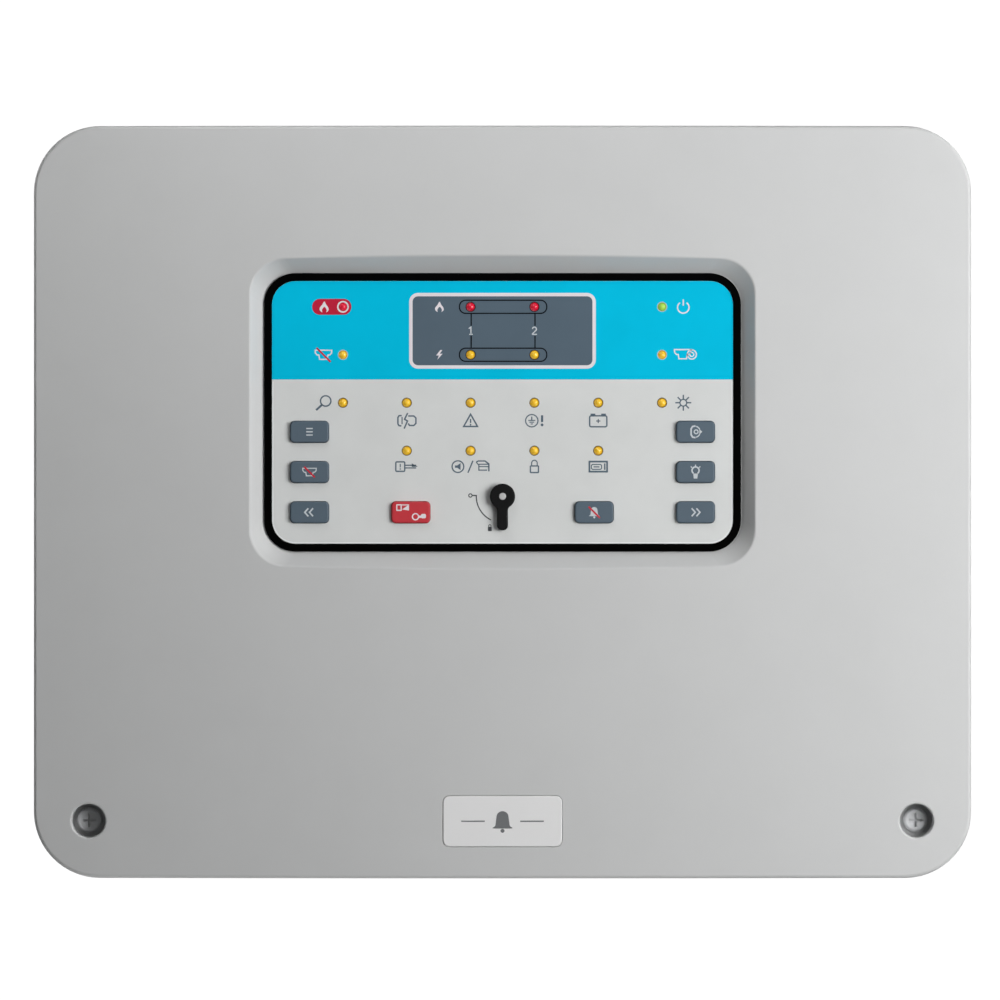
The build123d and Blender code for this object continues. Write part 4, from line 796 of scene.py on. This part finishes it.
def add_display_prints():
    """Cyan band, zone box, pill, rings round the lamps, and the light line at the overlay's lower edge. The
    dark rings round the lamps are painted shade of the gaps round the lamp domes, and the light line is a
    painted highlight of the overlay's lit edge.
    """
    film("print_band", [[band_outline()] + lamp_holes((0, 1))], COVER, "ink_cyan", FACE_Y, 1)
    zone = rounded(0, ZONE_Z, ZONE_W - 0.4, ZONE_H - 0.4, 2.8)
    film("print_zone_fill", [[zone] + lamp_holes((0, 1), (2, 3))], COVER, "ink_slate", FACE_Y, 2)
    frame_line = [hollow(0, ZONE_Z, ZONE_W, ZONE_H, 3.0, ZONE_LINE)]
    film("print_zone_frame", frame_line, COVER, "ink_white", FACE_Y, 3)

    x0, x1 = COLUMNS[2] - 4.0, COLUMNS[3] + 4.4
    lines = []
    for z in ROWS[:2]:
        lines.append(hollow((x0 + x1) / 2, z, x1 - x0, 4.9, 2.3, 0.45))
    for x in (COLUMNS[2], COLUMNS[3]):
        for start, end in ((ROWS[0] - 2.4, ZONE_Z + 1.7), (ZONE_Z - 1.7, ROWS[1] + 2.4)):
            lines.append(stroke([(x + 0.2, start), (x + 0.2, end)], 0.45))
    film("print_zone_lines", lines, COVER, "black_ink_and_gap_shade", FACE_Y, 3)
    numbers = moved(digit(1), COLUMNS[2], ZONE_Z) + moved(digit(2), COLUMNS[3], ZONE_Z)
    film("print_zone_numbers", numbers, COVER, "ink_pale", FACE_Y, 3)
    sign_x = COLUMNS[2] - 10.6
    signs = moved(flame(), sign_x, ROWS[0]) + moved(bolt(), sign_x, ROWS[1])
    film("print_zone_signs", signs, COVER, "ink_white", FACE_Y, 3)

    pill = rounded(COLUMNS[0] - 3.8, ROWS[0], 13.3, 5.4, 2.6)
    film("print_fire_pill", [[pill] + lamp_holes((0,), (0,))], COVER, "ink_red", FACE_Y, 2)
    fire = moved(flame(), COLUMNS[0] - 6.4, ROWS[0], 1.05)
    film("print_fire_signs", fire + [ring(COLUMNS[0], ROWS[0], 2.0, 0.5)], COVER, "ink_white", FACE_Y, 3)

    line = RING_R - LAMP_HOLE
    # Dark rings round the lamps on the grey: painted shade of the gaps round the lamp domes, not print.
    dark = [ring(COLUMNS[i], ROWS[j], RING_R, line) for j in (2, 3) for i in LAMPS[j]]
    film("lamp_gap_shade_rings", dark, COVER, "painted_lamp_gap_shade", FACE_Y, 1)
    # Black rings round the zone lamps: painted shade of the gaps round the lamp domes.
    black = [ring(COLUMNS[i], ROWS[j], RING_R, line) for j in (0, 1) for i in (2, 3)]
    film("zone_lamp_gap_shade_rings", black, COVER, "black_ink_and_gap_shade", FACE_Y, 3)
    pale = [ring(COLUMNS[i], ROWS[j], RING_R, line) for j, i in ((1, 0), (0, 5), (1, 5))]
    film("print_pale_rings", pale, COVER, "ink_pale", FACE_Y, 2)

    # The light line round the lower part of the overlay is a painted highlight of its lit edge.
    w, bottom, inset = PANEL_W / 2 - 0.35, PANEL_Z - PANEL_H / 2 + 0.35, PANEL_R - 0.35
    left = arc(PANEL_X - w + inset, bottom + inset, inset, 180, 270, 12)
    right = arc(PANEL_X + w - inset, bottom + inset, inset, 270, 360, 12)
    rim = stroke([(PANEL_X - w, BAND_Z - 0.5)] + left + right + [(PANEL_X + w, BAND_Z - 0.5)], 0.4)
    film("rim_highlight_line", [rim], COVER, "painted_rim_highlight", FACE_Y, 1)


def add_icons():
    """Pictograms on the overlay beside and under the lamps."""
    x_left, x_right = COLUMNS[0] - 6.6, COLUMNS[5] + 7.2
    film("print_mute_sign", moved(sounder(), x_left, ROWS[1]), COVER, "ink_white", FACE_Y, 2)
    film("print_mute_slash", moved(slash(2.4), x_left, ROWS[1]), COVER, "ink_slash", FACE_Y, 3)
    white = moved(power_sign(), x_right, ROWS[0]) + moved(sounder(), x_right - 0.2, ROWS[1] + 0.2)
    white += [ring(x_right + 2.9, ROWS[1] + 0.1, 1.75, LINE), ring(x_right + 2.9, ROWS[1] + 0.1, 0.85, 0.36)]
    film("print_white_signs", white, COVER, "ink_white", FACE_Y, 2)

    under_three, under_four = ROWS[2] - 6.1, ROWS[3] - 5.4
    slate = moved(magnifier(), x_left, ROWS[2]) + moved(lamp_rays(), x_right, ROWS[2])
    third_row = (broken_loop, warning, earth_fault, battery_sign)
    fourth_row = (module, outputs_sign, padlock, card)
    for signs, z in ((third_row, under_three), (fourth_row, under_four)):
        for column, sign in enumerate(signs, start=1):
            slate += moved(sign(), COLUMNS[column], z)
    film("print_signs", slate, COVER, "ink_icon", FACE_Y, 1)

    key_low, key_high = (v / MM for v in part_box("key_pin"))
    x, z = (key_low.x + key_high.x) / 2, (key_low.z + key_high.z) / 2
    turn = [(x - 10.2, z + 0.3), (x - 8.9, z + 0.3)] + arc(x, z, 8.9, 180, 244, 12)
    film("print_key_arc", [stroke(turn, 0.42)], COVER, "ink_line", FACE_Y, 1)
    small = moved(small_padlock(), x - 4.3, z - 10.6) + [ring(x - 10.9, z + 0.3, 0.75, 0.36)]
    film("print_key_signs", small, COVER, "ink_line", FACE_Y, 1)


def add_button_prints():
    """Pictograms that ride on the key caps."""
    keys = {
        "button_function": [(bars(), "ink_pale", 1.0)],
        "button_mute_buzzer": [(sounder(), "ink_pale", 0.82), (slash(2.0), "ink_slash", 0.9)],
        "button_previous": [(chevrons(-1), "ink_pale", 1.0)],
        "button_evacuate": [(outputs_on(), "ink_white", 1.0)],
        "button_silence": [(bell(), "ink_pale", 1.0), (slash(1.9), "ink_slash", 1.0)],
        "button_reset": [(door_sign(), "ink_pale", 1.0)],
        "button_lamp_test": [(bulb(), "ink_pale", 1.0)],
        "button_next": [(chevrons(1), "ink_pale", 1.0)],
    }
    for button, signs in keys.items():
        low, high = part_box(button)
        x, z = (low.x + high.x) / 2 / MM, (low.z + high.z) / 2 / MM
        for level, (shapes, ink, scale) in enumerate(signs, start=1):
            film(f"print_{button}_{level}", moved(shapes, x, z, scale), button, ink, low.y, level)


def add_badge_print():
    """A bell between two lines on the plain name plate."""
    low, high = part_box("badge_plate")
    x, z = (low.x + high.x) / 2 / MM, (low.z + high.z) / 2 / MM
    sides = [stroke([(x + s * 6.0, z), (x + s * 14.0, z)], 0.45) for s in (-1, 1)]
    film("print_badge_bell", moved(bell(), x, z, 1.9) + sides, COVER, "ink_grey", low.y, 1)


# ---------------------------------------------------------------- small parts inside the case
def block_mesh(boxes, chamfer=0.08):
    """Vertices and faces of many small chamfered blocks, each given by two corners in metres."""
    work = bmesh.new()
    for low, high in boxes:
        size = Vector(high) - Vector(low)
        place = Matrix.Translation((Vector(low) + Vector(high)) / 2) @ Matrix.Diagonal((*size, 1))
        made = bmesh.ops.create_cube(work, size=1.0, matrix=place)
        edges = list({e for v in made["verts"] for e in v.link_edges})
        bmesh.ops.bevel(work, geom=edges, offset=chamfer * MM, segments=1, affect="EDGES")
    work.verts.index_update()
    vertices = [tuple(v.co) for v in work.verts]
    faces = [[v.index for v in f.verts] for f in work.faces]
    work.free()
    return vertices, faces


def add_blocks(name, boxes, body, material, chamfer=0.08):
    vertices, faces = block_mesh(boxes, chamfer)
    return add_piece(name, vertices, faces, body, material)


def on_board(x, z, width, height, thick, face, side):
    """A block on a board: side is -1 when it stands forward of face, and 1 when it stands behind it."""
    y0, y1 = sorted((face, face + side * thick * MM))
    low = ((x - width / 2) * MM, y0, (z - height / 2) * MM)
    high = ((x + width / 2) * MM, y1, (z + height / 2) * MM)
    return low, high


def clear_of(x, z, spaces, margin):
    return all(not (a - margin < x < b + margin and c - margin < z < d + margin) for a, b, c, d in spaces)


def footprint(node):
    """The area that each separate solid of a node takes on its board, in millimetres."""
    work = bmesh.new()
    work.from_mesh(frame["nodes"][node].data)
    bmesh.ops.remove_doubles(work, verts=work.verts, dist=1e-6)
    spaces, seen = [], set()
    for vertex in work.verts:
        if vertex in seen:
            continue
        island, queue = [], [vertex]
        seen.add(vertex)
        while queue:
            here = queue.pop()
            island.append(here.co / MM)
            for edge in here.link_edges:
                other = edge.other_vert(here)
                if other not in seen:
                    seen.add(other)
                    queue.append(other)
        xs, zs = [p.x for p in island], [p.z for p in island]
        spaces.append((min(xs), max(xs), min(zs), max(zs)))
    work.free()
    return spaces


def add_surface_parts(board, nodes, body, side, count, seed):
    """Chip resistors and capacitors with tinned ends, scattered in rows between the larger parts."""
    pick = random.Random(seed)
    low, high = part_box(board)
    face = high.y if side > 0 else low.y
    taken = [space for node in nodes for space in footprint(node)]
    bodies, resins, ends = [], [], []
    tries = 0
    while len(bodies) + len(resins) < count and tries < 4000:
        tries += 1
        x = round(pick.uniform(low.x / MM + 5, high.x / MM - 5) / 2.5) * 2.5
        z = round(pick.uniform(low.z / MM + 4, high.z / MM - 4) / 2.0) * 2.0
        if not clear_of(x, z, taken, 2.2):
            continue
        taken.append((x - 1.2, x + 1.2, z - 0.8, z + 0.8))
        thick = 0.55
        (bodies if pick.random() < 0.5 else resins).append(on_board(x, z, 1.4, 1.2, thick, face, side))
        for end in (-1, 1):
            ends.append(on_board(x + end * 0.9, z, 0.4, 1.25, thick, face, side))
    add_blocks(board + "_ceramics", bodies, body, "ceramic", 0.05)
    add_blocks(board + "_resistors", resins, body, "resin", 0.05)
    add_blocks(board + "_solder_ends", ends, body, "solder", 0.05)


def add_chip_legs(node, board, body, side):
    """Gull-wing legs along two sides of each chip."""
    low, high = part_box(board)
    face = high.y if side > 0 else low.y
    legs = []
    for x0, x1, z0, z1 in footprint(node):
        steps = int((x1 - x0 - 1.0) / 1.27) + 1
        for i in range(steps):
            x = (x0 + x1) / 2 + (i - (steps - 1) / 2) * 1.27
            for edge, out in ((z0, -1), (z1, 1)):
                legs.append(on_board(x, edge + out * 0.25, 0.42, 0.5, 1.0, face, side))
                legs.append(on_board(x, edge + out * 0.75, 0.42, 0.7, 0.22, face, side))
    add_blocks(node + "_legs", legs, body, "solder", 0.04)


def add_board_marks():
    """White assembly outlines round the larger parts of the main board."""
    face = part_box("main_board")[0].y
    lines = []
    for node in ("relays", "terminal_blocks", "logic_chips", "board_fuses", "main_socket"):
        for x0, x1, z0, z1 in footprint(node):
            lines.append(hollow((x0 + x1) / 2, (z0 + z1) / 2, x1 - x0 + 2.6, z1 - z0 + 2.6, 0.3, 0.22))
    for x0, x1, z0, z1 in footprint("capacitors"):
        lines.append(ring((x0 + x1) / 2, (z0 + z1) / 2, (x1 - x0) / 2 + 1.0, 0.25))
    film("main_board_marks", lines, BOX, "ink_white", face, 2)


def front_of(node, space):
    """Y of the front of the solid of a node that stands on a given area."""
    x0, x1, z0, z1 = space
    slack = 0.01
    depths = []
    for vertex in frame["nodes"][node].data.vertices:
        x, z = vertex.co.x / MM, vertex.co.z / MM
        if x0 - slack <= x <= x1 + slack and z0 - slack <= z <= z1 + slack:
            depths.append(vertex.co.y)
    return min(depths)


def add_capacitor_tops():
    """Bare aluminium ends with a scored cross, on the smoothing cans."""
    gap = 0.18
    for i, space in enumerate(sorted(footprint("capacitors"))):
        x0, x1, z0, z1 = space
        x, z, radius = (x0 + x1) / 2, (z0 + z1) / 2, (x1 - x0) / 2 - 0.9
        turn = math.degrees(math.asin(gap / radius))
        shapes = []
        for start in (0, 90, 180, 270):
            a = math.radians(start + 45)
            corner = (x + gap * math.sqrt(2) * math.cos(a), z + gap * math.sqrt(2) * math.sin(a))
            shapes.append([[corner] + arc(x, z, radius, start + turn, start + 90 - turn, 12)])
        film(f"capacitor_top_{i + 1}", shapes, BOX, "solder", front_of("capacitors", space), 4)


def add_battery_details():
    """Blank labels on the front of the batteries and a vent strip along each lid."""
    for side in ("left", "right"):
        low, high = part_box("battery_" + side)
        x, z = (low.x + high.x) / 2 / MM, (low.z + high.z) / 2 / MM
        film(f"battery_label_{side}", [[rounded(x, z - 4, 96, 44, 2.0)]], BOX, "paper_label", low.y, 3)
        film(f"battery_band_{side}", [[rounded(x, z + 11, 92, 7, 1.0)]], BOX, "label_band", low.y, 4)
        strip = ((x - 34) * MM, -0.046, high.z - 0.0002), ((x + 34) * MM, -0.026, high.z + 0.0006)
        add_blocks(f"battery_vent_{side}", [strip], BOX, "battery_case", 0.3)


def add_ferrules():
    """Crimped sleeves where the leads enter the power terminals."""
    spaces = [s for s in footprint("terminal_blocks") if s[3] < 30]
    x0, x1, z0, _ = spaces[0]
    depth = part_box("main_board")[0].y - 3.3 * MM
    pitch = (x1 - x0) / 4
    for i, material in enumerate(("red_insulation", "black_insulation") * 2):
        x = (x0 + (i + 0.5) * pitch) * MM
        profile = [(1.3, -3.2), (1.65, -3.0), (1.65, -1.2), (1.4, -0.4), (1.3, -0.3)]
        lathe(f"ferrule_{i + 1}", (x, depth, z0 * MM), profile, BOX, material)


def lathe(name, origin, profile, body, material, steps=24):
    """A closed ring turned about a vertical axis, from pairs of radius and height in millimetres."""
    vertices, faces = [], []
    inner = min(r for r, _ in profile) - 0.05
    section = profile + [(inner, profile[-1][1]), (inner, profile[0][1])]
    count = len(section)
    for s in range(steps):
        a = 2 * math.pi * s / steps
        for r, h in section:
            x, y = r * MM * math.cos(a), r * MM * math.sin(a)
            vertices.append((origin[0] + x, origin[1] + y, origin[2] + h * MM))
    for s in range(steps):
        for k in range(count):
            a, b = s * count + k, s * count + (k + 1) % count
            c, d = ((s + 1) % steps) * count + (k + 1) % count, ((s + 1) % steps) * count + k
            faces.append([a, b, c, d])
    obj = add_piece(name, vertices, faces, body, material)
    for polygon in obj.data.polygons:
        polygon.use_smooth = True


def add_ribbon():
    """The flat cable, ribbed core by core, laid in a fixed bend between the box and the cover."""
    low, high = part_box("ribbon_cable")
    half = 0.45 * MM
    front, back, top = low.y + half, high.y - half, high.z - half
    main_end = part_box("main_socket")[1].z - 1.0 * MM
    route = [(front, low.z), (front, low.z + 0.016), (front, top - 0.010), (front + 0.009, top),
             (back - 0.010, top), (back, top - 0.010), (back, main_end)]
    curve = bpy.data.curves.new("ribbon_route", "CURVE")
    curve.dimensions = "3D"
    curve.resolution_u = 16
    spline = curve.splines.new("NURBS")
    spline.points.add(len(route) - 1)
    for point, (y, z) in zip(spline.points, route):
        point.co = (0, y, z, 1)
    spline.order_u = 3
    spline.use_endpoint_u = True
    carrier = bpy.data.objects.new("ribbon_route", curve)
    bpy.context.scene.collection.objects.link(carrier)
    line = bpy.data.meshes.new_from_object(carrier)
    points = [v.co.copy() for v in line.vertices]
    bpy.data.objects.remove(carrier)
    profile = ribbon_profile(low.x, high.x)
    vertices, faces = [], []
    for i, point in enumerate(points):
        along = (points[min(i + 1, len(points) - 1)] - points[max(i - 1, 0)]).normalized()
        across = Vector((0, -along.z, along.y))
        for x, h in profile:
            vertices.append((x, *(point + across * h).yz))
    count = len(profile)
    for i in range(len(points) - 1):
        for k in range(count):
            a, b = i * count + k, i * count + (k + 1) % count
            faces.append([a, b, b + count, a + count])
    faces.append(list(range(count)))
    faces.append([(len(points) - 1) * count + k for k in reversed(range(count))])
    cable = add_piece("ribbon_cable_ribbed", vertices, faces, BOX, "ribbon_grey")
    cable.parent = None
    del cable["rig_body"]
    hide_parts("ribbon_cable")
    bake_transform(cable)
    for polygon in cable.data.polygons:
        polygon.use_smooth = True


def ribbon_profile(x0, x1):
    """Section of the flat cable: a row of round cores joined by thin webs."""
    pitch = (x1 - x0) / RIBBON_CORES
    upper = []
    for core in range(RIBBON_CORES):
        for share, height in ((0.08, 0.22), (0.3, 0.40), (0.5, 0.44), (0.7, 0.40), (0.92, 0.22)):
            upper.append((x0 + (core + share) * pitch, height * MM))
    return upper + [(x, -h) for x, h in reversed(upper)]


def build():
    paint_cad_nodes()
    add_display_prints()
    add_icons()
    add_button_prints()
    add_badge_print()
    rear_parts = ("display_chips", "buzzer", "display_socket", "display_board_screws")
    front_parts = ("relays", "capacitors", "board_fuses", "logic_chips", "terminal_blocks", "main_socket",
                   "box_screws")
    add_surface_parts("main_board", front_parts, BOX, -1, 150, 4)
    add_surface_parts("display_board", rear_parts, COVER, 1, 70, 9)
    add_chip_legs("logic_chips", "main_board", BOX, -1)
    add_chip_legs("display_chips", "display_board", COVER, 1)
    add_board_marks()
    add_capacitor_tops()
    add_battery_details()
    add_ferrules()
    add_ribbon()


add_camera()
add_stage()
add_lights()
build()
